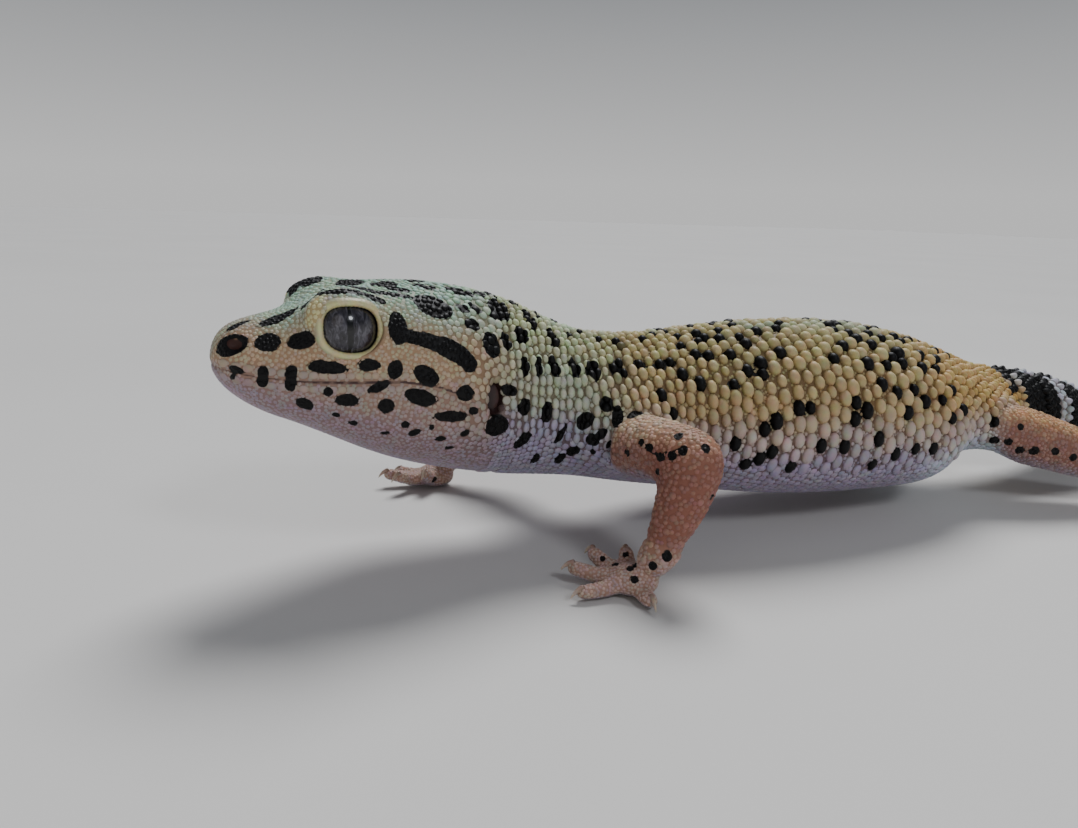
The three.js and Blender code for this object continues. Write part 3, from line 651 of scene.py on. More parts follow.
def from_hollow(points, place=None):
    """How far each point is, from the side, from a nostril's or an ear's middle, in that hollow's radii."""
    if place is None:
        return np.minimum(from_hollow(points, NOSTRIL), from_hollow(points, EAR))
    aside = np.abs(points[:, 1] - spine_at(place["behind"])[0])
    along = (points[:, 0] - SNOUT_X - place["behind"]) / place["radii"][0]
    upward = (points[:, 2] - place["up"]) / place["radii"][2]
    return np.hypot(along, upward) + 9 * (np.abs(aside - place["aside"]) > 2.6)


def spot_at(points):
    """How far outside the nearest black mark each point lies, in mm, less than 0 inside one."""
    nearest = np.full(len(points), 3.0)
    order = np.argsort(points[:, 0])
    sorted_x = points[order, 0]

    def near(x_low, x_high):
        return order[np.searchsorted(sorted_x, x_low - 3.5) : np.searchsorted(sorted_x, x_high + 3.5)]

    for centre, along, down, half_size in zip(oval_centre, oval_along, oval_down, oval_half):
        picked = near(centre[0], centre[0])
        away = points[picked] - centre
        a, d = away @ along / half_size[0], away @ down / half_size[1]
        through = away @ np.cross(along, down) / 2.2
        far = (np.sqrt(a * a + d * d + through * through) - 1) * half_size.min()
        nearest[picked] = np.minimum(nearest[picked], far)
    for start, end, radius in zip(band_start, band_end, bands[:, 4]):
        picked = near(min(start[0], end[0]), max(start[0], end[0]))
        away, line = points[picked] - start, end - start
        t = np.clip(away @ line / (line @ line), 0, 1)
        far = np.linalg.norm(away - t[:, None] * line, axis=1) - radius
        nearest[picked] = np.minimum(nearest[picked], far)
    for dot, radius in zip(dots, dot_radius):
        picked = near(dot[0], dot[0])
        far = np.linalg.norm(points[picked] - dot, axis=1) - radius
        nearest[picked] = np.minimum(nearest[picked], far)
    behind = points[:, 0] - SNOUT_X
    on_tail = smooth_step(behind + 2.4 * value_noise(points, 2.6, 11), 117.5, 120.5)
    on_tail *= np.abs(points[:, 1] - spine_at(behind)[0]) < np.interp(behind, BEHIND, half_width) + 1.2
    drawn_out = points * (1.5, 0.75, 0.75)
    blotch = value_noise(drawn_out, 5.2, 3) + 0.5 * value_noise(drawn_out, 2.4, 5)
    blotch = blotch + 0.28 * np.sin(behind / 2.6)
    blotch = (-0.06 - blotch) * 2.2
    nearest = np.where(on_tail > 0.5, np.minimum(nearest, blotch), nearest)
    hollow = 1 - smooth_step(from_hollow(points), 0.5, 0.95)
    return nearest + (1 - nearest) * hollow


def outside_trunk(points):
    """How far each point lies to the side of the body without its legs, in mm."""
    behind = points[:, 0] - SNOUT_X
    return np.abs(points[:, 1] - spine_at(behind)[0]) - np.interp(behind, BEHIND, half_width)


def blend(first, second, share):
    """Mixes two colours, or rows of colours, by the second one's share at each point."""
    share = np.asarray(share)[:, None]
    return first * (1 - share) + second * share


# The ground colours of head, neck, trunk, tail and legs, with painted light and shade among them: the mint is
# partly painted cool light from above, the dark of the hollows is painted shade over reddish skin, the groin's
# pale blue is painted rim light and the legs' lower colour is partly painted shade.
HUE = {
    "snout": "#a89a87", "crown": "#9fbdaa", "cheek": "#b9a68b", "lip": "#a8978d", "jaw": "#9b8b93",
    "throat": "#9d90a0", "lid": "#cdc89a", "hollow": "#34161a", "nape": "#b7bd98", "neck": "#b3b9a3",
    "neck_low": "#9d97ab", "back": "#b6a87a", "flank": "#bba57a", "low_flank": "#b6a69d",
    "belly": "#9f95a8", "rump": "#c0a26b", "groin": "#b9c1cd", "painted_sheen_mint": "#b3c8b2", "tail_base": "#c2a056",
    "tail": "#b7bbc3", "thigh": "#c79f78", "arm": "#c2a88f", "leg_low_shaded": "#98746a", "elbow": "#935f50",
    "foot": "#b59d93",
}
HUE = {name: np.array(linear(value)[:3]) for name, value in HUE.items()}


def tint_at(points, out):
    """The ground colour of skin and scales at some points, linear, some of it painted light and shade."""
    behind = points[:, 0] - SNOUT_X
    y, z = spine_at(behind)
    turn = np.degrees(np.arctan2(np.abs(points[:, 1] - y), points[:, 2] - z))
    patchy = value_noise(points, 3.1, 1) * 6
    turn = turn + patchy
    head = blend(HUE["snout"], HUE["crown"], smooth_step(behind + patchy * 0.2, 3.5, 8))
    head = blend(head, HUE["cheek"], smooth_step(turn + 0.5 * patchy, 20, 58))
    head = blend(head, HUE["lip"], smooth_step(turn, 70, 88))
    head = blend(head, HUE["jaw"], smooth_step(turn, 92, 112))
    head = blend(head, HUE["throat"], smooth_step(turn, 118, 150))
    neck = blend(HUE["nape"], HUE["neck"], smooth_step(turn, 30, 70))
    neck = blend(neck, HUE["neck_low"], smooth_step(turn, 80, 108))
    trunk = blend(HUE["back"], HUE["flank"], smooth_step(turn, 35, 70))
    trunk = blend(trunk, HUE["low_flank"], smooth_step(turn, 74, 92))
    trunk = blend(trunk, HUE["belly"], smooth_step(turn, 92, 108))
    rump = blend(HUE["rump"], HUE["low_flank"], smooth_step(turn, 70, 96))
    # the groin's pale bluish colour is painted rim light along the lower rump
    rump = blend(rump, HUE["groin"], smooth_step(turn, 96, 118))
    tint = blend(head, neck, smooth_step(behind + patchy * 0.3, 27, 35))
    tint = blend(tint, trunk, smooth_step(behind + patchy * 0.3, 40, 51))
    tint = blend(tint, rump, smooth_step(behind + patchy * 0.5, 88, 101))
    tail = blend(HUE["tail_base"], HUE["tail"], smooth_step(behind + patchy * 0.6, 118, 124))
    tint = blend(tint, tail, smooth_step(behind, 115, 119))
    # a painted sheen: cool light from above, drawn as mint patches over the top of head, neck and back
    painted_top_sheen = smooth_step(-turn, -34, -8) * smooth_step(value_noise(points, 4.0, 9), -0.3, 0.6)
    tint = blend(tint, HUE["painted_sheen_mint"], 0.55 * painted_top_sheen * smooth_step(-behind, -100, -86))
    aside = outside_trunk(points)
    leg = blend(HUE["arm"], HUE["thigh"], smooth_step(behind, 80, 90))
    # paler where a leg faces up, darker on its sides and under it: the legs' own colours with painted light
    # from above
    leg = blend(leg, HUE["leg_low_shaded"], smooth_step(-out[:, 2] + patchy * 0.03, -0.75, -0.1))
    leg = blend(leg, HUE["elbow"], 0.5 * smooth_step(aside, 6, 9) * (1 - smooth_step(behind, 80, 90)))
    leg = blend(leg, HUE["foot"], smooth_step(-points[:, 2], -7.5, -3.5))
    leg = blend(leg, HUE["neck_low"], 0.6 * smooth_step(-out[:, 2], 0.35, 0.85))
    tint = blend(tint, leg, smooth_step(aside, 0.2, 2.6))
    before_lid = (1 - smooth_step(behind, 10.2, 11.4)) * smooth_step(behind, 7.8, 8.8)
    before_lid *= smooth_step(np.abs(points[:, 1] - y), 5.7, 6.5) * smooth_step(points[:, 2], 28.6, 29.6)
    tint = blend(tint, HUE["lid"], before_lid)
    # the ear and nostril hollows are painted dark red-brown: their reddish skin with painted shade in the
    # recess
    hollow = 1 - smooth_step(from_hollow(points), 0.85, 1.15)
    return blend(tint, HUE["hollow"], hollow * 0.95)


def put_attribute(mesh, name, kind, values, key="value"):
    """Stores a value, a vector or a colour for each point of a mesh."""
    attribute = mesh.attributes.new(name, kind, "POINT")
    attribute.data.foreach_set(key, np.ascontiguousarray(values, "f4").ravel())


def with_alpha(tint):
    """Colours with the fourth value that a colour attribute holds."""
    return np.concatenate([tint, np.ones((len(tint), 1))], 1)


def mouth_at(points):
    """How far each point lies above or below the closed lips, in mm; far from them it is just large."""
    behind = points[:, 0] - SNOUT_X
    apart = np.abs(points[:, 2] - np.interp(behind, MOUTH[:, 0], MOUTH[:, 1]))
    return apart + 0.07 * (1 - smooth_step(behind, 4, 12)) + 3 * smooth_step(behind, 25.0, 26.5)


skin_out = normal_at(skin_points)
fine_coat = 1 - smooth_step(skin_points[:, 0] - SNOUT_X, 22, 34)
fine_coat = np.maximum(fine_coat, smooth_step(-skin_points[:, 2], -6, -4))
fine_coat = np.maximum(1.15 * fine_coat, 1.25 * smooth_step(outside_trunk(skin_points), 0, 1.5))
fine_coat = np.maximum(fine_coat, smooth_step(-skin_out[:, 2], 0.2, 0.7))[:, None]
# the skin's tint: darkened as painted shade between large scales, paler where the coat is fine
between = tint_at(skin_points, skin_out) * (0.68 + 0.58 * fine_coat)
put_attribute(flat, "tint", "FLOAT_COLOR", with_alpha(between), "color")
put_attribute(flat, "mouth", "FLOAT", mouth_at(skin_points))

# Living skin between the scales: soft, thin and a little moist. Its colour is darkened as painted shade in the
# valleys between the scales.
skin_leather, tree = new_material("living_reptile_skin")
texture = add_node(tree, "ShaderNodeTexCoord")
tint = add_node(tree, "ShaderNodeAttribute", {"attribute_name": "tint"})
spot = add_node(tree, "ShaderNodeAttribute", {"attribute_name": "spot"})
mouth = add_node(tree, "ShaderNodeAttribute", {"attribute_name": "mouth"})
fine = add_node(tree, "ShaderNodeTexNoise", Vector=texture.outputs["Object"], Scale=1400.0, Detail=3.0)
ragged = add_node(
    tree, "ShaderNodeMath", {"operation": "MULTIPLY_ADD"}, i0=fine.outputs["Fac"], i1=0.5,
    i2=spot.outputs["Fac"],
)
black_share = add_node(
    tree, "ShaderNodeMapRange", {"interpolation_type": "SMOOTHSTEP"}, Value=ragged.outputs[0],
    From_Min=0.42, From_Max=0.26,
)
# painted shade: the whole skin darkened a little, for it shows only in the valleys between scales
painted_gap_shade = add_node(
    tree, "ShaderNodeMix", {"data_type": "RGBA", "blend_type": "MULTIPLY"}, i0=1.0,
    i6=tint.outputs["Color"], i7=linear("#d3c4bb"),
)
vein = add_node(
    tree, "ShaderNodeMix", {"data_type": "RGBA", "blend_type": "MULTIPLY"}, i0=fine.outputs["Fac"],
    i6=painted_gap_shade.outputs[2], i7=linear("#e2d8d1"),
)
lip_line = add_node(
    tree, "ShaderNodeMapRange", {"interpolation_type": "SMOOTHSTEP"}, Value=mouth.outputs["Fac"],
    From_Min=0.22, From_Max=0.06,
)
lined = add_node(
    tree, "ShaderNodeMix", {"data_type": "RGBA"}, i0=lip_line.outputs["Result"], i6=vein.outputs[2],
    i7=linear("#4b3735"),
)
marked = add_node(
    tree, "ShaderNodeMix", {"data_type": "RGBA"}, i0=black_share.outputs["Result"], i6=lined.outputs[2],
    i7=linear("#060505"),
)
grain = add_node(tree, "ShaderNodeTexVoronoi", Vector=texture.outputs["Object"], Scale=2400.0)
relief = add_node(tree, "ShaderNodeBump", Height=grain.outputs["Distance"], Strength=0.35, Distance=0.0001)
finish_material(
    tree,
    add_node(
        tree, "ShaderNodeBsdfPrincipled", Base_Color=marked.outputs[2], Roughness=0.52,
        Specular_IOR_Level=0.25,
        Normal=relief.outputs[0],
    ).outputs[0],
)
flat.materials.append(skin_leather)
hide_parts(*FLESH)
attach(skin, "root")

# ---- coat: how scales stand on the skin --------------------------------------------------------------------
# Every scale is a small solid dome of horn over the skin, set in rows round the trunk and tail and packed at
# random on the head, legs and feet. Each stands on a root point that holds its size, lie and colour.
PATCH = 0.003  # each scale's width on the bake's map
SUNK = 0.12  # the share of a scale's height that is rooted in the skin
standing = []  # the roots set so far: groups of points, each with its half width


def kd_tree(points, numbers=None):
    """A search tree for the nearest of some points, which have their own numbers or are counted from 0."""
    tree = KDTree(len(points))
    for i, point in enumerate(points.tolist()):
        tree.insert(point, i if numbers is None else numbers[i])
    tree.balance()
    return tree


def settle(points, radii, closeness=0.72, among_themselves=False, spacing=1.0):
    """Which of the points keep clear of the scales already there; those then stand too."""
    free = np.ones(len(points), bool)
    if standing:
        there = np.concatenate([group[0] for group in standing])
        width = np.concatenate([group[1] for group in standing])
        tree = kd_tree(there)
        for i, point in enumerate(points.tolist()):
            _, nearest, apart = tree.find(point)
            free[i] = apart > (radii[i] + width[nearest]) * closeness
    kept = np.flatnonzero(free)
    if among_themselves:
        tree = kd_tree(points[kept], kept.tolist())
        chosen = []
        for i in kept.tolist():
            if free[i]:
                chosen.append(i)
                reach = float(2 * radii[i] * closeness * spacing)
                for _, other, _ in tree.find_range(points[i].tolist(), reach):
                    free[other] = False
        kept = np.array(chosen, int)
    standing.append((points[kept], np.asarray(radii)[kept]))
    return kept


def rows_round_body(start, stop, pitch_along, pitch_round, degrees_from=0, degrees_to=180, wave=0.36):
    """Rows of roots round the body: [mm behind, degrees, half pitch along, half pitch round]."""
    at = [start]
    while at[-1] < stop:
        at.append(at[-1] + float(pitch_along(at[-1])))
    at = np.array(at)
    angle = np.arange(-180, 181, 3.0)
    grid_at, grid_angle = np.meshgrid(at, angle, indexing="ij")
    outline = round_body(grid_at.ravel(), grid_angle.ravel()).reshape(len(at), len(angle), 3)
    mid_y, _ = spine_at(at)
    widest = np.interp(at, BEHIND, half_width) + 0.8
    off_body = np.abs(outline[:, :, 1] - mid_y[:, None]) > widest[:, None]
    roots = []
    for j, behind in enumerate(at):
        line = outline[j].copy()
        if off_body[j].any():
            off, kept = off_body[j], ~off_body[j]
            for k in range(3):
                line[off, k] = np.interp(angle[off], angle[kept], line[kept, k])
        length = np.linalg.norm(np.diff(line, axis=0), axis=1)
        pitch = pitch_round(behind, np.abs((angle[1:] + angle[:-1]) / 2))
        count = np.concatenate([[0], np.cumsum(length / pitch)])
        count -= np.interp(0, angle, count)
        places = np.arange(np.ceil(count[0]), count[-1]) + 0.5 * (j % 2) + rng.uniform(-0.2, 0.2)
        degrees = np.interp(places, count, angle)
        in_range = (np.abs(degrees) >= degrees_from) & (np.abs(degrees) <= degrees_to)
        degrees = degrees[in_range & (places < count[-1])]
        step = float(pitch_along(behind))
        over_body = np.stack([degrees / 9, np.full(len(degrees), behind / 6), degrees * 0], 1)
        shift = value_noise(over_body, 1.0, 4)
        shift = behind + shift * wave * step + rng.normal(0, 0.05, len(degrees)) * step
        degrees = degrees + rng.normal(0, 0.05, len(degrees)) * 7
        half_round = np.interp(degrees, (angle[1:] + angle[:-1]) / 2, pitch) / 2
        roots.append(np.stack([shift, degrees, np.full(len(degrees), step / 2), half_round], 1))
    return np.concatenate(roots)


def along_body(points):
    """The direction towards the tail, once for each point."""
    return np.tile((1.0, 0.0, 0.0), (len(points), 1))


def rooted(rows, closeness):
    """The rows that are on the body, off its legs and clear of the scales already there, and for each one its
    point on the skin, the direction out of the skin and the direction towards the tail."""
    points = round_body(rows[:, 0], rows[:, 1])
    out = normal_at(points)
    mid_y, _ = spine_at(rows[:, 0])
    on = np.abs(points[:, 1] - mid_y) < np.interp(rows[:, 0], BEHIND, half_width) + 0.8
    on &= np.abs(field_at(points)) < 0.3
    rows, points, out = rows[on], points[on], out[on]
    kept = settle(points, rows[:, 2:4].mean(1), closeness=closeness)
    return rows[kept], points[kept], out[kept], along_body(points[kept])


def bead_mesh(name, sides, profile, lean=0.0, foot_painted_light=0.0):
    """A closed dome of unit radius and height, its top moved back by lean and its painted foot shade
    lightened.
    """
    points = []
    for radius, height in profile:
        for k in range(sides):
            turn = 2 * math.pi * k / sides
            points.append((radius * math.cos(turn) + lean * max(height, 0), radius * math.sin(turn), height))
    points.append((lean, 0, 1))
    faces = []
    for ring in range(len(profile) - 1):
        for k in range(sides):
            a, b = ring * sides + k, ring * sides + (k + 1) % sides
            faces.append((a, b, b + sides, a + sides))
    last = (len(profile) - 1) * sides
    faces += [(last + k, last + (k + 1) % sides, len(points) - 1) for k in range(sides)]
    faces.append(tuple(reversed(range(sides))))
    made = mesh_object(name, np.array(points) * 1000, faces)
    rise = [foot_painted_light + (1 - foot_painted_light) * max(0.0, height) for _, _, height in points]
    put_attribute(made.data, "rise", "FLOAT", rise)
    put_attribute(made.data, "on_bead", "FLOAT_VECTOR", [(x, y, 0) for x, y, _ in points], "vector")
    return made


def scale_tree():
    """Geometry Nodes that stand a scale on every root, keep its colours and lay out its patch of the map."""
    tree = bpy.data.node_groups.new("stand_scales", "GeometryNodeTree")
    wanted = {"Roots": "Geometry", "Scale shape": "Object", "Patch": "Float", "Finish": "Material"}
    for name, kind in wanted.items():
        tree.interface.new_socket(name, in_out="INPUT", socket_type="NodeSocket" + kind)
    tree.interface.new_socket("Scales", in_out="OUTPUT", socket_type="NodeSocketGeometry")
    given = tree.nodes.new("NodeGroupInput")
    shape = add_node(tree, "GeometryNodeObjectInfo", Object=given.outputs["Scale shape"])

    def read(name):
        vector = {"data_type": "FLOAT_VECTOR"}
        return add_node(tree, "GeometryNodeInputNamedAttribute", vector, Name=name).outputs[0]

    turned = add_node(
        tree, "FunctionNodeAxesToRotation", {"primary_axis": "Z", "secondary_axis": "X"}, i0=read("out"),
        i1=read("lie"),
    )
    placed = add_node(
        tree, "GeometryNodeInstanceOnPoints", Points=given.outputs["Roots"],
        Instance=shape.outputs["Geometry"],
        Rotation=turned.outputs[0], Scale=read("size"),
    )
    solid = add_node(tree, "GeometryNodeRealizeInstances", Geometry=placed.outputs[0])
    within = add_node(
        tree, "ShaderNodeVectorMath", {"operation": "SCALE"}, i0=read("on_bead"),
        Scale=given.outputs["Patch"],
    )
    on_map = add_node(
        tree, "ShaderNodeVectorMath", {"operation": "ADD"}, i0=read("chart"), i1=within.outputs[0]
    )
    mapped = add_node(
        tree, "GeometryNodeStoreNamedAttribute", {"data_type": "FLOAT2", "domain": "CORNER"},
        Geometry=solid.outputs[0], Name="OFBake", Value=on_map.outputs[0],
    )
    finished = add_node(
        tree, "GeometryNodeSetMaterial", Geometry=mapped.outputs[0], Material=given.outputs["Finish"]
    )
    result = tree.nodes.new("NodeGroupOutput")
    tree.links.new(finished.outputs[0], result.inputs[0])
    return tree


SCALES = scale_tree()

# Horn scales: hard, thin and slightly glossy, with painted shade at their feet and a painted highlight at
# their tops; each black one is black all over, a touch less black at its top as a painted highlight.
horn, tree = new_material("keratin_scales")
texture = add_node(tree, "ShaderNodeTexCoord")
tint = add_node(tree, "ShaderNodeAttribute", {"attribute_name": "tint"})
spot = add_node(tree, "ShaderNodeAttribute", {"attribute_name": "spot"})
rise = add_node(tree, "ShaderNodeAttribute", {"attribute_name": "rise"})
# painted light on each scale: its foot darker, its top white
painted_highlight_tops = {"stops": ((0.0, "#bcaa9c"), (0.6, "#ffffff"))}
painted_bead_shading = add_node(tree, "ShaderNodeValToRGB", painted_highlight_tops, Fac=rise.outputs["Fac"])
cloud = add_node(tree, "ShaderNodeTexNoise", Vector=texture.outputs["Object"], Scale=900.0, Detail=4.0)
shaded = add_node(
    tree, "ShaderNodeMix", {"data_type": "RGBA", "blend_type": "MULTIPLY"}, i0=1.0,
    i6=tint.outputs["Color"], i7=painted_bead_shading.outputs["Color"],
)
clouded = add_node(
    tree, "ShaderNodeMix", {"data_type": "RGBA", "blend_type": "OVERLAY"}, i0=0.3, i6=shaded.outputs[2],
    i7=cloud.outputs["Color"],
)
black_share = add_node(tree, "ShaderNodeMapRange", Value=spot.outputs["Fac"], From_Min=0.3, From_Max=0.14)
black = add_node(
    tree, "ShaderNodeMix", {"data_type": "RGBA"}, i0=rise.outputs["Fac"], i6=linear("#030303"),
    i7=linear("#0b0a0b"),
)
marked = add_node(
    tree, "ShaderNodeMix", {"data_type": "RGBA"}, i0=black_share.outputs["Result"], i6=clouded.outputs[2],
    i7=black.outputs[2],
)
grain = add_node(tree, "ShaderNodeTexNoise", Vector=texture.outputs["Object"], Scale=5200.0, Detail=2.0)
relief = add_node(tree, "ShaderNodeBump", Height=grain.outputs["Fac"], Strength=0.25, Distance=0.00005)
finish_material(
    tree,
    add_node(
        tree, "ShaderNodeBsdfPrincipled", Base_Color=marked.outputs[2], Roughness=0.48,
        Specular_IOR_Level=0.18, Normal=relief.outputs[0]
    ).outputs[0],
)


def coat_piece(name, slot, shape, points, out, lie, size, chart, pale=1.0, uneven=0.07, whole=False):
    """Stands one kind of scale on its roots and hands the finished mesh to the frame. Sizes are in mm.
    A black mark runs across the scales, or takes each whole one."""
    roots = bpy.data.meshes.new(name + "_roots")
    roots.from_pydata([tuple(p) for p in (points - out * size[:, 2:3] * SUNK) * 0.001], [], [])
    put_attribute(roots, "out", "FLOAT_VECTOR", out, "vector")
    put_attribute(roots, "lie", "FLOAT_VECTOR", lie, "vector")
    put_attribute(roots, "size", "FLOAT_VECTOR", size * 0.001, "vector")
    flat_chart = np.concatenate([chart, np.zeros((len(chart), 1))], 1)
    put_attribute(roots, "chart", "FLOAT_VECTOR", flat_chart, "vector")
    spot = spot_at(points) + rng.normal(0, 0.05, len(points))
    put_attribute(roots, "spot", "FLOAT", np.clip(spot * 4, -1, 1))
    tone = rng.normal(1.0, uneven, (len(points), 1)) * pale
    put_attribute(roots, "tint", "FLOAT_COLOR", with_alpha(tint_at(points, out) * tone), "color")
    holder = bpy.data.objects.new(name + "_roots", roots)
    bpy.context.scene.collection.objects.link(holder)
    modifier = holder.modifiers.new("scales", "NODES")
    modifier.node_group = SCALES
    given = {"Scale shape": shape, "Patch": PATCH / 2, "Finish": horn}
    for item in SCALES.interface.items_tree:
        if item.in_out == "INPUT" and item.name in given:
            modifier[item.identifier] = given[item.name]
    holder.update_tag()
    graph = bpy.context.evaluated_depsgraph_get()
    mesh = bpy.data.meshes.new_from_object(holder.evaluated_get(graph))
    for unused in ("out", "lie", "size", "chart", "on_bead"):
        mesh.attributes.remove(mesh.attributes[unused])
    if not whole:
        places = mesh_places(mesh) * 1000
        ragged = spot_at(places) + 0.1 * value_noise(places, 0.6, 8)
        mesh.attributes["spot"].data.foreach_set("value", np.clip(ragged * 4, -1, 1).astype("f4"))
    above_floor = mesh_places(mesh)
    above_floor[:, 2] = np.maximum(above_floor[:, 2], 0)
    mesh.vertices.foreach_set("co", above_floor.ravel())
    mesh.name = name
    bpy.data.objects.remove(holder)
    piece = bpy.data.objects.new(name, mesh)
    bpy.context.scene.collection.objects.link(piece)
    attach(piece, "root")


PEARL = bead_mesh("pearl", 10, [(0.98, -0.3), (0.98, 0.12), (0.85, 0.56), (0.5, 0.89)])
GRAIN = bead_mesh("grain", 6, [(0.98, -0.4), (0.78, 0.55)])
FINE_GRAIN = bead_mesh("fine_grain", 6, [(1.0, -0.6), (0.84, 0.5)], foot_painted_light=0.42)
LEG_GRAIN = bead_mesh("leg_grain", 6, [(1.0, -0.5), (0.82, 0.55)], foot_painted_light=0.55)
LEG_PEARL = bead_mesh("leg_pearl", 8, [(0.98, -0.4), (0.94, 0.2), (0.62, 0.75)], foot_painted_light=0.5)
FLAT_SCALE = bead_mesh(
    "flat_scale", 7, [(0.98, -0.4), (0.97, 0.35), (0.62, 0.85)], lean=0.12, foot_painted_light=0.35
)
TUBERCLE = bead_mesh("tubercle", 8, [(0.97, -0.3), (0.92, 0.25), (0.6, 0.7), (0.25, 0.95)], lean=0.4)


def body_chart(rows, start, stop):
    """Where rows of [mm behind, degrees] between start and stop lie on a piece's bake map."""
    along = 0.02 + 0.96 * (rows[:, 0] - start) / (stop - start)
    return np.stack([along, 0.5 + rows[:, 1] / 360 * 0.96], 1).clip(0.01, 0.99)


# ---- coat: trunk and neck ----------------------------------------------------------------------------------
# Round pearl-like beads in wavy strings up and down the flanks, nearly touching within a string. They are
# small on the neck and shoulder, largest on the mid flank, and small again over the rump.
NECK_FROM, TRUNK_FROM, TRUNK_TO = 31.5, 45, 117  # mm behind the snout
PITCH_AT = [31, 38, 46, 58, 68, 88, 98, 108, 117]


def trunk_pitch_along(behind):
    """How far apart the beads stand along the trunk, in mm."""
    return np.interp(behind, PITCH_AT, [0.95, 1.0, 1.15, 1.5, 1.8, 1.85, 1.65, 1.35, 1.2])


def trunk_pitch_round(behind, degrees):
    """How far apart they stand round it, in mm, closest over the spine and under the belly."""
    side = np.interp(behind, PITCH_AT, [1.1, 1.3, 1.5, 1.8, 2.0, 2.0, 1.75, 1.4, 1.2])
    return side * np.interp(degrees, [0, 30, 60, 90, 110, 135], [0.8, 0.86, 1.0, 1.06, 0.95, 0.7])


rows = rows_round_body(NECK_FROM, TRUNK_TO, trunk_pitch_along, trunk_pitch_round, 0, 112)
rows, points, out, lie = rooted(rows, closeness=0.5)
vary = rng.normal(1, 0.1, (len(rows), 1)).clip(0.75, 1.3)
low_side = smooth_step(np.abs(rows[:, 1]), 84, 108)
height = np.interp(rows[:, 0], [31, 40, 48, 60, 90, 108, 117], [0.5, 0.66, 0.78, 0.98, 1.03, 0.85, 0.65])
height *= 1 - 0.5 * low_side
size = np.stack([rows[:, 2] * (0.93 - 0.13 * low_side), rows[:, 3] * 1.14, height], 1) * vary
in_neck = rows[:, 0] < TRUNK_FROM
left = rows[:, 1] > 0
black_beads = kd_tree(points)  # each black bead's mark moves on to the middle of the scale nearest to it
oval_centre[len(ovals) :] = [black_beads.find(mark)[0] for mark in oval_centre[len(ovals) :].tolist()]
put_attribute(flat, "spot", "FLOAT", spot_at(skin_points))
for name, slot, mask in (
    ("coat_neck", "neck_skin", in_neck),
    ("coat_trunk_left", "trunk_skin", ~in_neck & left),
    ("coat_trunk_right", "trunk_skin", ~in_neck & ~left),
):
    chart = body_chart(rows[mask], NECK_FROM - 1, TRUNK_TO + 1)
    whole = name != "coat_neck"
    coat_piece(
        name, slot, PEARL, points[mask], out[mask], lie[mask], size[mask], chart, pale=1.05, whole=whole
    )

# ---- coat: belly -------------------------------------------------------------------------------------------
# Small flat scales in close rows under the neck and belly, each lapping a little over the next.


def belly_pitch_along(behind):
    """How far apart the rows of flat scales lie along the belly, in mm."""
    return 0.95 * float(np.interp(behind, [30, 42], [0.62, 1.0]))


def belly_pitch_round(behind, degrees):
    """How far apart the flat scales lie within a row, in mm, the same all round."""
    return degrees * 0 + float(np.interp(behind, [30, 42], [0.62, 1.0]))


rows = rows_round_body(30, 118, belly_pitch_along, belly_pitch_round, 108, 180, wave=0.12)
rows, points, out, lie = rooted(rows, closeness=0.62)
size = np.stack([rows[:, 2] * 1.12, rows[:, 3] * 1.08, np.full(len(rows), 0.2)], 1)
coat_piece(
    "coat_belly", "trunk_skin", FLAT_SCALE, points, out, lie, size, body_chart(rows, 29, 119), pale=1.0
)

# ---- coat: tail --------------------------------------------------------------------------------------------
# The tail is ringed: each ring has a few rows of small scales and ends in one of larger pointed tubercles.
RING = 5.2  # mm, the length of a ring at the tail's base


def tail_pitch_along(behind):
    """How far apart the rows lie along the tail, in mm, closer towards its tip."""
    return 1.15 * np.interp(behind, [117, 150, 180, 203], [1.0, 0.95, 0.75, 0.5])


def tail_pitch_round(behind, degrees):
    """How far apart the scales lie within a row of the tail, in mm, the same all round."""
    return np.interp(behind, [117, 140, 170, 190, 203], [1.25, 1.4, 1.1, 0.8, 0.5]) + degrees * 0


rows = rows_round_body(TRUNK_TO + 0.6, 202.5, tail_pitch_along, tail_pitch_round, wave=0.2)
rows, points, out, lie = rooted(rows, closeness=0.55)
ring_phase = ((rows[:, 0] - TRUNK_TO) / RING) % 1
large = (ring_phase > 0.72) & (np.abs(rows[:, 1]) < 120)
height = np.where(large, 0.75, 0.3) * np.interp(rows[:, 0], [117, 170, 203], [1.0, 0.7, 0.25])
longer, wider = np.where(large, 1.35, 1.08), np.where(large, 1.0, 1.05)
size = np.stack([rows[:, 2] * longer, rows[:, 3] * wider, height], 1)
chart = body_chart(rows, 116, 204)
coat_piece("coat_tail", "tail_skin", TUBERCLE, points, out, lie, size, chart, pale=1.08, whole=True)

# ---- coat: legs --------------------------------------------------------------------------------------------
# Fine flat granules cover each leg like shagreen, with paler, rounder tubercles standing apart among them.
# Each leg's middle line: [mm behind the snout, mm outwards, mm up] from the shoulder or hip to the wrist
MIDDLE_Y = -0.6  # mm, the trunk's midline
LEG_STEPS = 40  # how finely each line is divided
LEGS = {
    "fore_left": (
        -1,
        [(46.4, 7.6, 14), (47.5, 14.2, 15.1), (48.9, 19.6, 15.1), (46.8, 20.1, 9.9), (44.1, 20.2, 4.6)],
    ),
    "fore_right": (
        1,
        [(46.4, 7.6, 14), (45.6, 14.4, 14.8), (44.4, 20.6, 13.7), (40.2, 23, 9.2), (35.2, 24.4, 4.6)],
    ),
    "hind_left": (
        -1,
        [(107.5, 6.4, 12.6), (116, 11, 10.1), (124.6, 15.1, 7.3), (131, 20.4, 6.1), (137, 25.6, 3.8)],
    ),
    "hind_right": (
        1,
        [(107.5, 6.4, 12.6), (104.4, 14.4, 13.4), (101.4, 21.9, 12.4), (106.6, 25.2, 8.6), (111.4, 27.8, 4.1)],
    ),
}
leg_lines = []
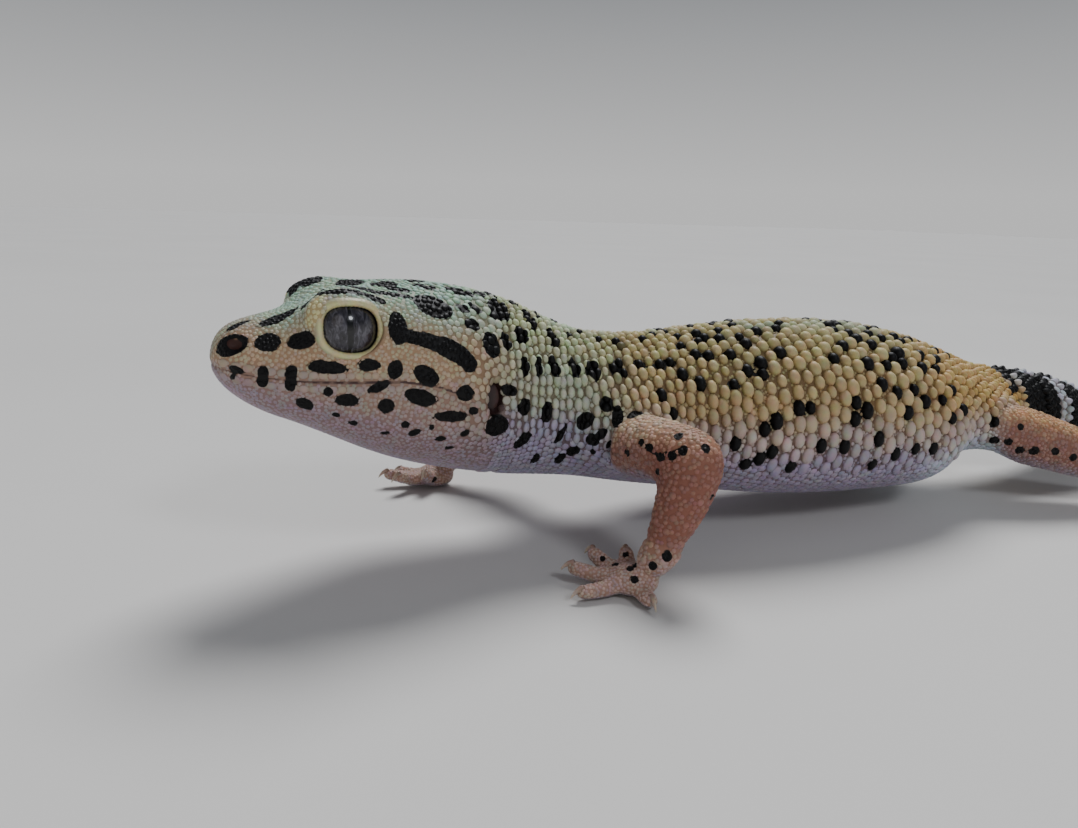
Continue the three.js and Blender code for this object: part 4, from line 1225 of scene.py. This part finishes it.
for side, path in LEGS.values():
    path = np.array([(b + SNOUT_X, MIDDLE_Y + side * a, up) for b, a, up in path])
    stops = np.linspace(0, 4, LEG_STEPS + 1)
    leg_lines.append(np.stack([np.interp(stops, range(5), path[:, k]) for k in range(3)], 1))


def along_leg(points):
    """Which leg each point belongs to, how far down it, 0 to 1, and the direction down the leg."""
    nearest = np.full(len(points), 1e9)
    number, down, ahead = np.zeros(len(points), int), np.zeros(len(points)), np.zeros((len(points), 3))
    for k, line in enumerate(leg_lines):
        tree = kd_tree(line)
        found = [tree.find(point)[1:] for point in points.tolist()]
        place = np.array([f[0] for f in found])
        apart = np.array([f[1] for f in found])
        closer = apart < nearest
        step = line[np.minimum(place + 1, LEG_STEPS)] - line[np.maximum(place - 1, 0)]
        nearest[closer], number[closer] = apart[closer], k
        down[closer], ahead[closer] = place[closer] / LEG_STEPS, step[closer]
    return number, down, ahead / np.linalg.norm(ahead, axis=1, keepdims=True)


skin_triangles = mesh_triangles(flat)


def packed(corner_low, corner_high, tries, radius_of, seed, closeness=0.86, spacing=1.0):
    """Roots thrown at random on the skin inside a box, kept where they have room."""
    draw = np.random.default_rng(seed)
    corner = skin_points[skin_triangles]
    middle = corner.mean(1)
    corner = corner[((middle > corner_low) & (middle < corner_high)).all(1)]
    area = np.linalg.norm(np.cross(corner[:, 1] - corner[:, 0], corner[:, 2] - corner[:, 0]), axis=1)
    picked = draw.choice(len(corner), tries, p=area / area.sum())
    a, b = draw.random((2, tries, 1))
    root = np.sqrt(a)
    first, second, third = corner[picked].transpose(1, 0, 2)
    points = first * (1 - root) + second * root * (1 - b) + third * root * b
    radius = radius_of(points)
    points, radius = points[radius > 0], radius[radius > 0]
    kept = settle(points, radius, closeness, among_themselves=True, spacing=spacing)
    return points[kept], radius[kept]


def leg_radius(points, radius):
    """The radius on the legs, and 0 off them and on the feet."""
    behind = points[:, 0] - SNOUT_X
    on = (outside_trunk(points) > -1.4) & (points[:, 2] > 4.2) & (behind > 30)
    return np.where(on, radius * (1 + 0.1 * value_noise(points, 1.6, 2)), 0)


def leg_coat(name, shape, points, radius, height, pale):
    """One kind of scale on the legs, lying down each leg, with a strip of the bake map for each leg."""
    out = normal_at(points)
    number, down, ahead = along_leg(points)
    sideways = np.cross(ahead, (0, 0, 1.0))
    upward = np.cross(sideways, ahead)
    centre = np.array([leg_lines[k][int(round(d * LEG_STEPS))] for k, d in zip(number, down)])
    away = points - centre
    turn = np.arctan2((away * sideways).sum(1), (away * upward).sum(1)) / (2 * math.pi) + 0.5
    reach = (away * ahead).sum(1) / 22
    chart = np.stack([(number + (0.08 + 0.84 * down + reach).clip(0.01, 0.99)) / 4, 0.02 + 0.96 * turn], 1)
    size = np.stack([radius * 1.2, radius * 1.2, radius * height], 1)
    coat_piece(name, "leg_skin", shape, points, out, ahead, size, chart, pale=pale)


every_leg = ((SNOUT_X + 30, -40, 4), (SNOUT_X + 142, 40, 20))
points, radius = packed(*every_leg, 5000, lambda p: leg_radius(p, 0.37), 31, spacing=2.3)
leg_coat("coat_leg_tubercles", LEG_PEARL, points, radius, 0.5, 1.02)
points, radius = packed(*every_leg, 60000, lambda p: leg_radius(p, 0.27), 32)
fore = points[:, 0] < SNOUT_X + 75
leg_coat("coat_forelegs", LEG_GRAIN, points[fore], radius[fore], 0.42, 1.0)
leg_coat("coat_hindlegs", LEG_GRAIN, points[~fore], radius[~fore], 0.42, 1.0)

# ---- coat: lips --------------------------------------------------------------------------------------------
# A row of low oblong plates edges each lip, a larger one at the snout's very tip above and below.
PLATE = bead_mesh("plate", 10, [(1.0, -0.5), (0.97, 0.35), (0.8, 0.8)], foot_painted_light=0.45)
plates = []
for side in (-1, 1):
    for above in (1, -1):
        behind = 1.3
        while behind < 24:
            length = 0.62 - 0.012 * behind
            up = np.interp(behind, MOUTH[:, 0], MOUTH[:, 1]) + above * 0.72
            start = np.array([[behind + SNOUT_X, float(spine_at(behind)[0]), up]])
            reach = onto_skin(start, np.array([[0.0, side, 0.0]]), 14.0)
            root = start[0] + (0, side * reach[0], 0)
            plates.append((*root, length, 0.46 - 0.006 * behind, behind, side * (86 if above > 0 else 94)))
            behind += 2 * length * 0.93
plates = np.array(plates)
points, out = plates[:, :3], normal_at(plates[:, :3])
lie = along_body(points)
size = np.stack([plates[:, 3], plates[:, 4], np.full(len(plates), 0.12)], 1)
standing.append((points, plates[:, 4] * 0.9))
chart = body_chart(plates[:, 5:7], -1, 34)
coat_piece("coat_lips", "head_skin", PLATE, points, out, lie, size, chart, uneven=0.03)

# ---- coat: head --------------------------------------------------------------------------------------------
# Fine granules packed at random: pearly and larger on the crown and behind the jaw, smallest on the snout
# and throat, and none where the eyelids, ears, nostrils and lips are.


def head_turn(points):
    """How far behind the snout points lie, in mm, and how many degrees round from the top, left positive."""
    behind = points[:, 0] - SNOUT_X
    y, z = spine_at(behind)
    return behind, np.degrees(np.arctan2(-(points[:, 1] - y), points[:, 2] - z))


def head_radius(points):
    """The radius of the head's granules, in mm, and 0 where the skin is bare."""
    behind, turn = head_turn(points)
    crown = 1 - smooth_step(np.abs(turn), 30, 60)
    nape = smooth_step(behind, 20, 30)
    jaw = smooth_step(np.abs(turn), 96, 120)
    radius = 0.215 + 0.09 * crown * smooth_step(behind, 5, 14) + 0.2 * nape * (1 - 0.65 * jaw) + 0.03 * nape
    radius *= 1 + 0.14 * value_noise(points, 1.3, 6)
    y, _ = spine_at(behind)
    round_eye = ((behind - LID["behind"]) / (LID["half_length"] + 0.25)) ** 2
    round_eye += ((points[:, 2] - LID["up"]) / (LID["half_height"] + 0.25)) ** 2
    at_eye = (round_eye < 1) & (np.abs(points[:, 1] - y) > 6.0)
    at_hollow = (from_hollow(points, NOSTRIL) < 1.1) | (from_hollow(points, EAR) < 1.0)
    bare = at_eye | at_hollow | (mouth_at(points) < 0.28)
    return np.where(bare, 0, radius)


points, radius = packed((SNOUT_X - 1, -20, 0), (SNOUT_X + NECK_FROM + 1.5, 20, 40), 120000, head_radius, 11)
out = normal_at(points)
behind, turn = head_turn(points)
lie = along_body(points)
bump = np.interp(np.abs(turn), [0, 40, 80, 110], [0.75, 0.62, 0.36, 0.3])
bump = bump * np.interp(behind, [0, 8, 20, 30], [0.4, 0.5, 0.8, 1.0])
size = np.stack([radius * 1.14, radius * 1.14, radius * bump], 1)
chart = body_chart(np.stack([behind, turn], 1), -1, 34)
large = radius > 0.33
for name, shape, mask in (
    ("coat_crown", PEARL, large),
    ("coat_face_left", FINE_GRAIN, ~large & (turn > 0)),
    ("coat_face_right", FINE_GRAIN, ~large & (turn <= 0)),
):
    coat_piece(name, "head_skin", shape, *[a[mask] for a in (points, out, lie, size, chart)], uneven=0.05)

# ---- coat: feet --------------------------------------------------------------------------------------------
# The finest granules of all, flat as a glove's grain, over the palms and toes.
def foot_radius(points):
    """The radius on the feet, in mm, and 0 on the soles where they meet the floor."""
    return np.where(points[:, 2] < 0.3, 0, 0.2 * (1 + 0.1 * value_noise(points, 1.2, 2)))


foot_parts = []
for number, (name, (box_low, box_high)) in enumerate(foot_boxes.items()):
    points, radius = packed(box_low - 1.2, box_high + (1.2, 1.2, 1.5), 16000, foot_radius, 20 + number)
    middle = (box_low + box_high) / 2
    out, lie = normal_at(points), points - middle
    lie[:, 2] = 0
    place_on_map = (points[:, :2] - box_low[:2] + 1.5) / (box_high[:2] - box_low[:2] + 3)
    under = out[:, 2] < -0.2
    across_map = (number + 0.04 + 0.92 * place_on_map[:, 0]) / 4
    chart = np.stack([across_map, 0.01 + 0.48 * place_on_map[:, 1] + 0.5 * under], 1)
    size = np.stack([radius * 1.15, radius * 1.1, radius * 0.38], 1)
    foot_parts.append((points, out, lie, size, chart))
points, out, lie, size, chart = [np.concatenate(group) for group in zip(*foot_parts)]
coat_piece("coat_feet", "foot_skin", FINE_GRAIN, points, out, lie, size, chart, pale=1.04)

# ---- coat: between the beads -------------------------------------------------------------------------------
# Wherever skin still shows between the larger scales, tiny grains fill it, coloured darker as painted shade.


def gap_radius(points):
    """The radius of the grains from the neck to the tail's tip, in mm, and 0 on the head and the floor."""
    behind = points[:, 0] - SNOUT_X
    return np.where((behind > NECK_FROM - 1) & (points[:, 2] > 0.4), 0.24, 0)


points, radius = packed((SNOUT_X + 30, -16, 0), (SNOUT_X + 204, 22, 40), 60000, gap_radius, 41, closeness=0.8)
out = normal_at(points)
behind, turn = head_turn(points)
lie = along_body(points)
size = np.stack([radius * 1.15, radius * 1.15, radius * 0.6], 1)
chart = body_chart(np.stack([behind, turn], 1), 29, 205)
coat_piece("coat_between", "trunk_skin", GRAIN, points, out, lie, size, chart, pale=0.72)
for shape in (PEARL, GRAIN, FINE_GRAIN, LEG_GRAIN, LEG_PEARL, FLAT_SCALE, TUBERCLE, PLATE):
    bpy.data.objects.remove(shape)

# ---- eyes --------------------------------------------------------------------------------------------------
# Each eye is a wet ball sunk to more than half its depth in the head: a clear skin over a marbled silver-grey
# iris, which an upright slit pupil with scalloped edges parts from top to bottom.
EYE_TURNS, EYE_RINGS = 96, 60
PUPIL_HALF_WIDTH, PUPIL_HALF_HEIGHT = 0.35, 2.5  # mm

wet_eye, tree = new_material("moist_cornea_and_iris")
gaze = add_node(tree, "ShaderNodeAttribute", {"attribute_name": "gaze"})
pupil = add_node(tree, "ShaderNodeAttribute", {"attribute_name": "pupil"})
# veins about 0.5 mm apart, drawn out upright as the iris's own folds are
stretch = add_node(tree, "ShaderNodeMapping", Vector=gaze.outputs["Vector"], Scale=(1.0, 0.45, 1.0))
marble = add_node(
    tree, "ShaderNodeTexNoise", Vector=stretch.outputs[0], Scale=1.9, Detail=6.0, Roughness=0.62,
    Distortion=0.9,
)
greys = {"stops": ((0.34, "#151317"), (0.5, "#37353c"), (0.66, "#64626a"))}
iris = add_node(tree, "ShaderNodeValToRGB", greys, Fac=marble.outputs["Fac"])
out_from_middle = add_node(tree, "ShaderNodeVectorMath", {"operation": "LENGTH"}, i0=gaze.outputs["Vector"])
rim = add_node(
    tree, "ShaderNodeMapRange", {"interpolation_type": "SMOOTHSTEP"},
    Value=out_from_middle.outputs["Value"], From_Min=1.9, From_Max=3.0,
)
shaded = add_node(
    tree, "ShaderNodeMix", {"data_type": "RGBA"}, i0=rim.outputs["Result"], i6=iris.outputs["Color"],
    i7=linear("#121014"),
)
slit = add_node(tree, "ShaderNodeMapRange", Value=pupil.outputs["Fac"], From_Min=0.03, From_Max=-0.03)
eye_colour = add_node(
    tree, "ShaderNodeMix", {"data_type": "RGBA"}, i0=slit.outputs["Result"], i6=shaded.outputs[2],
    i7=linear("#020203"),
)
eye_shader = add_node(
    tree, "ShaderNodeBsdfPrincipled", Base_Color=eye_colour.outputs[2], Roughness=0.22, IOR=1.376,
    Coat_Weight=1.0, Coat_Roughness=0.03, Coat_IOR=1.376,
)
finish_material(tree, eye_shader.outputs[0])


def ball_mesh(turns, rings):
    """A unit ball as points and faces, its poles on the y axis and its rings closer towards them."""
    points = [(0.0, -1.0, 0.0)]
    for ring in range(1, rings):
        down = math.pi * ring / rings
        down -= 0.25 * math.sin(2 * down)
        for k in range(turns):
            turn = 2 * math.pi * k / turns
            points.append((math.sin(down) * math.cos(turn), -math.cos(down), math.sin(down) * math.sin(turn)))
    points.append((0.0, 1.0, 0.0))
    last = len(points) - 1
    faces = [(0, 1 + k, 1 + (k + 1) % turns) for k in range(turns)]
    for ring in range(rings - 2):
        for k in range(turns):
            a, b = 1 + ring * turns + k, 1 + ring * turns + (k + 1) % turns
            faces.append((a, a + turns, b + turns, b))
    start = last - turns
    faces += [(start + k, last, start + (k + 1) % turns) for k in range(turns)]
    return np.array(points), faces


def outward(piece):
    """Turns a closed piece's faces outwards."""
    form = bmesh.new()
    form.from_mesh(piece.data)
    bmesh.ops.recalc_face_normals(form, faces=form.faces)
    form.to_mesh(piece.data)
    form.free()


unit_ball, ball_faces = ball_mesh(EYE_TURNS, EYE_RINGS)
for side, side_name in ((-1, "left"), (1, "right")):
    spine_shift = float(spine_at(EYE["behind"])[0])
    centre = np.array((EYE["behind"] + SNOUT_X, spine_shift + side * EYE["aside"], EYE["up"]))
    eye = mesh_object("eyeball_" + side_name, centre + unit_ball * EYE["radius"], ball_faces, wet_eye)
    outward(eye)
    across, up = unit_ball[:, 0] * EYE["radius"] + 0.1, unit_ball[:, 2] * EYE["radius"] - 0.1
    put_attribute(eye.data, "gaze", "FLOAT_VECTOR", np.stack([across, up, 0 * up], 1), "vector")
    taper = np.clip(1 - (up / PUPIL_HALF_HEIGHT) ** 2, 0, 1) ** 0.75
    scallop = 0.045 * np.cos(up * 2 * math.pi / 1.15) * taper
    from_slit = np.abs(across) - PUPIL_HALF_WIDTH * taper - scallop + 0.06 * (taper == 0)
    put_attribute(eye.data, "pupil", "FLOAT", from_slit)
    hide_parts("eye_" + side_name)
    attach(eye, "root")

# ---- eyelids -----------------------------------------------------------------------------------------------
# True eyelids, which few geckos have: a full, pale rim of soft skin round each eye, its edge fringed with
# tiny scales, closed on to the ball inside and rooted in the head outside.
LID_STEPS = 132
LID_SCALES = 44  # the scales of the fringe, about half a millimetre apart

lid_skin, tree = new_material("soft_eyelid_skin")
texture = add_node(tree, "ShaderNodeTexCoord")
inward = add_node(tree, "ShaderNodeAttribute", {"attribute_name": "inward"})
# pale cream over the rim, a little darker where it roots in the head, and near black at its inner edge, which
# is painted shade where the lid closes on to the ball
lid_tone_to_inner_shade = {"stops": ((0.0, "#a8a583"), (0.3, "#cfc995"), (0.72, "#bfb784"), (1.0, "#2a2320"))}
edge = add_node(tree, "ShaderNodeValToRGB", lid_tone_to_inner_shade, Fac=inward.outputs["Fac"])
cloud = add_node(tree, "ShaderNodeTexNoise", Vector=texture.outputs["Object"], Scale=1100.0, Detail=4.0)
clouded = add_node(
    tree, "ShaderNodeMix", {"data_type": "RGBA", "blend_type": "OVERLAY"}, i0=0.35,
    i6=edge.outputs["Color"], i7=cloud.outputs["Color"],
)
grain = add_node(tree, "ShaderNodeTexVoronoi", Vector=texture.outputs["Object"], Scale=3300.0)
relief = add_node(tree, "ShaderNodeBump", Height=grain.outputs["Distance"], Strength=0.4, Distance=0.00008)
finish_material(
    tree,
    add_node(
        tree, "ShaderNodeBsdfPrincipled", Base_Color=clouded.outputs[2], Roughness=0.42,
        Normal=relief.outputs[0]
    ).outputs[0],
)

# The rim's section: [share of the half width outwards, mm out from the ball, how far inward it counts as]
LID_SECTION = [
    (1.55, -0.95, 0.0), (1.35, -0.3, 0.0), (1.08, 0.06, 0.06), (0.7, 0.3, 0.16), (0.2, 0.44, 0.3),
    (-0.35, 0.43, 0.5), (-0.8, 0.3, 0.72), (-1.02, 0.14, 0.9), (-1.06, 0.02, 1.0), (-0.9, -0.3, 1.0),
    (0.3, -0.9, 0.5),
]


def at_lid(turn, outwards):
    """A place on the rim, across the eye from its middle: mm along the head and mm up."""
    squarer = 1 + 0.035 * math.cos(4 * turn + math.pi)
    across = (LID["half_length"] + outwards) * math.cos(turn) * squarer
    up = (LID["half_height"] + outwards) * math.sin(turn) * squarer
    return across, up - 0.05 * across


for side, side_name in ((-1, "left"), (1, "right")):
    spine_shift = float(spine_at(EYE["behind"])[0])
    points, inwardness = [], []
    for step in range(LID_STEPS):
        turn = 2 * math.pi * step / LID_STEPS
        fringe = 0.5 + 0.5 * math.cos(turn * LID_SCALES)
        for outwards, off_ball, share in LID_SECTION:
            scale = 1 + 0.1 * fringe * (0.2 < share < 0.95)
            across, up = at_lid(turn, outwards * LID["half_width"] * (scale if outwards < 0 else 1))
            ball_across, ball_up = at_lid(turn, -LID["half_width"])
            ball_across = ball_across + LID["behind"] - EYE["behind"]
            from_eye = math.hypot(ball_across, ball_up + LID["up"] - EYE["up"])
            on_ball = math.sqrt(max(EYE["radius"] ** 2 - from_eye**2, 0.01))
            aside = EYE["aside"] + on_ball + off_ball * (0.94 + 0.1 * fringe) + 0.05 * across
            points.append((LID["behind"] + SNOUT_X + across, spine_shift + side * aside, LID["up"] + up))
            inwardness.append(share)
    count = len(LID_SECTION)
    faces = []
    for step in range(LID_STEPS):
        for k in range(count):
            a, b = step * count + k, step * count + (k + 1) % count
            c, d = (step + 1) % LID_STEPS * count + (k + 1) % count, (step + 1) % LID_STEPS * count + k
            faces.append((a, b, c, d))
    lid = mesh_object("eyelid_rim_" + side_name, points, faces, lid_skin)
    outward(lid)
    put_attribute(lid.data, "inward", "FLOAT", inwardness)
    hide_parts("eyelid_" + side_name)
    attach(lid, "root")

# ---- eardrums ----------------------------------------------------------------------------------------------
# A thin, slightly hollow sheet of pinkish skin closes each ear a little way in, with a painted shadow that is
# darkest under its front edge.
EARDRUM = {"deeper": 1.95, "radii": (1.4, 0.5, 2.3)}

membrane, tree = new_material("eardrum_membrane")
texture = add_node(tree, "ShaderNodeTexCoord")
across_ear = add_node(tree, "ShaderNodeAttribute", {"attribute_name": "across_ear"})
painted_shadow_front_to_back = {"stops": ((0.2, "#120708"), (0.42, "#2b1414"), (0.75, "#4c322d"))}
membrane_tone_and_shadow = add_node(tree, "ShaderNodeValToRGB", painted_shadow_front_to_back, Fac=across_ear.outputs["Fac"])
vein = add_node(tree, "ShaderNodeTexNoise", Vector=texture.outputs["Object"], Scale=1500.0, Detail=3.0)
veined = add_node(
    tree, "ShaderNodeMix", {"data_type": "RGBA", "blend_type": "OVERLAY"}, i0=0.4,
    i6=membrane_tone_and_shadow.outputs["Color"], i7=vein.outputs["Color"],
)
relief = add_node(tree, "ShaderNodeBump", Height=vein.outputs["Fac"], Strength=0.2, Distance=0.0001)
finish_material(
    tree,
    add_node(
        tree, "ShaderNodeBsdfPrincipled", Base_Color=veined.outputs[2], Roughness=0.5,
        Normal=relief.outputs[0]
    ).outputs[0],
)
drum_points, drum_faces = ball_mesh(40, 16)
for side, side_name in ((-1, "left"), (1, "right")):
    aside = side * (EAR["aside"] - EARDRUM["deeper"])
    centre = np.array((EAR["behind"] + SNOUT_X, float(spine_at(EAR["behind"])[0]) + aside, EAR["up"]))
    drum_places = centre + drum_points * EARDRUM["radii"]
    drum = mesh_object("eardrum_" + side_name, drum_places, drum_faces, membrane)
    outward(drum)
    put_attribute(drum.data, "across_ear", "FLOAT", 0.5 + 0.5 * drum_points[:, 0])
    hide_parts("ear_" + side_name)
    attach(drum, "root")

# ---- claws -------------------------------------------------------------------------------------------------
# A small curved claw of horn on every toe, rooted in the toe's end, clear and pale at its point.
CLAW_SIDES, CLAW_RINGS = 10, 9
CLAW_ROOT = 0.75  # mm hidden in the toe
CLAW_WORN = 0.4  # mm worn off the point by walking

claw_horn, tree = new_material("keratin_claws")
texture = add_node(tree, "ShaderNodeTexCoord")
to_point = add_node(tree, "ShaderNodeAttribute", {"attribute_name": "to_point"})
root_to_point = {"stops": ((0, "#8d6f62"), (1, "#cbb9a4"))}
horn_tone = add_node(tree, "ShaderNodeValToRGB", root_to_point, Fac=to_point.outputs["Fac"])
streak = add_node(tree, "ShaderNodeTexNoise", Vector=texture.outputs["Object"], Scale=2600.0, Detail=2.0)
streaked = add_node(
    tree, "ShaderNodeMix", {"data_type": "RGBA", "blend_type": "OVERLAY"}, i0=0.25,
    i6=horn_tone.outputs["Color"], i7=streak.outputs["Color"],
)
finish_material(
    tree,
    add_node(
        tree, "ShaderNodeBsdfPrincipled", Base_Color=streaked.outputs[2], Roughness=0.32, IOR=1.54
    ).outputs[0],
)
claw_nodes = [n for n in nodes if "_claw_" in n]
points, faces, to_point_values = [], [], []
for name in claw_nodes:
    own, _ = node_surface([name])
    foot_middle = foot_boxes[name[: name.index("_claw_")] + "_foot"].mean(0)
    middle = own.mean(0)
    ahead = np.linalg.svd(own - middle, full_matrices=False)[2][0]
    ahead *= np.sign(ahead @ (middle - foot_middle))
    along = (own - middle) @ ahead
    back, tip = middle + ahead * (along.min() - CLAW_ROOT), middle + ahead * (along.max() - CLAW_WORN)
    sideways = np.cross(ahead, (0, 0, 1.0))
    sideways /= np.linalg.norm(sideways)
    upward = np.cross(sideways, ahead)
    first = len(points)
    for ring in range(CLAW_RINGS):
        share = ring / (CLAW_RINGS - 1)
        radius = 0.36 * (1 - share) ** 0.7 + 0.035
        spine_point = back + (tip - back) * share + upward * 0.22 * math.sin(math.pi * share)
        for k in range(CLAW_SIDES):
            turn = 2 * math.pi * k / CLAW_SIDES
            points.append(spine_point + radius * (0.8 * math.cos(turn) * sideways + math.sin(turn) * upward))
            to_point_values.append(share)
    for ring in range(CLAW_RINGS - 1):
        for k in range(CLAW_SIDES):
            a, b = first + ring * CLAW_SIDES + k, first + ring * CLAW_SIDES + (k + 1) % CLAW_SIDES
            faces.append((a, b, b + CLAW_SIDES, a + CLAW_SIDES))
    faces.append(tuple(first + k for k in reversed(range(CLAW_SIDES))))
    faces.append(tuple(first + (CLAW_RINGS - 1) * CLAW_SIDES + k for k in range(CLAW_SIDES)))
points = np.array(points)
points[:, 2] = np.maximum(points[:, 2], 0.02)
claws = mesh_object("claws", points, faces, claw_horn)
outward(claws)
put_attribute(claws.data, "to_point", "FLOAT", to_point_values)
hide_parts(*claw_nodes)
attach(claws, "root")
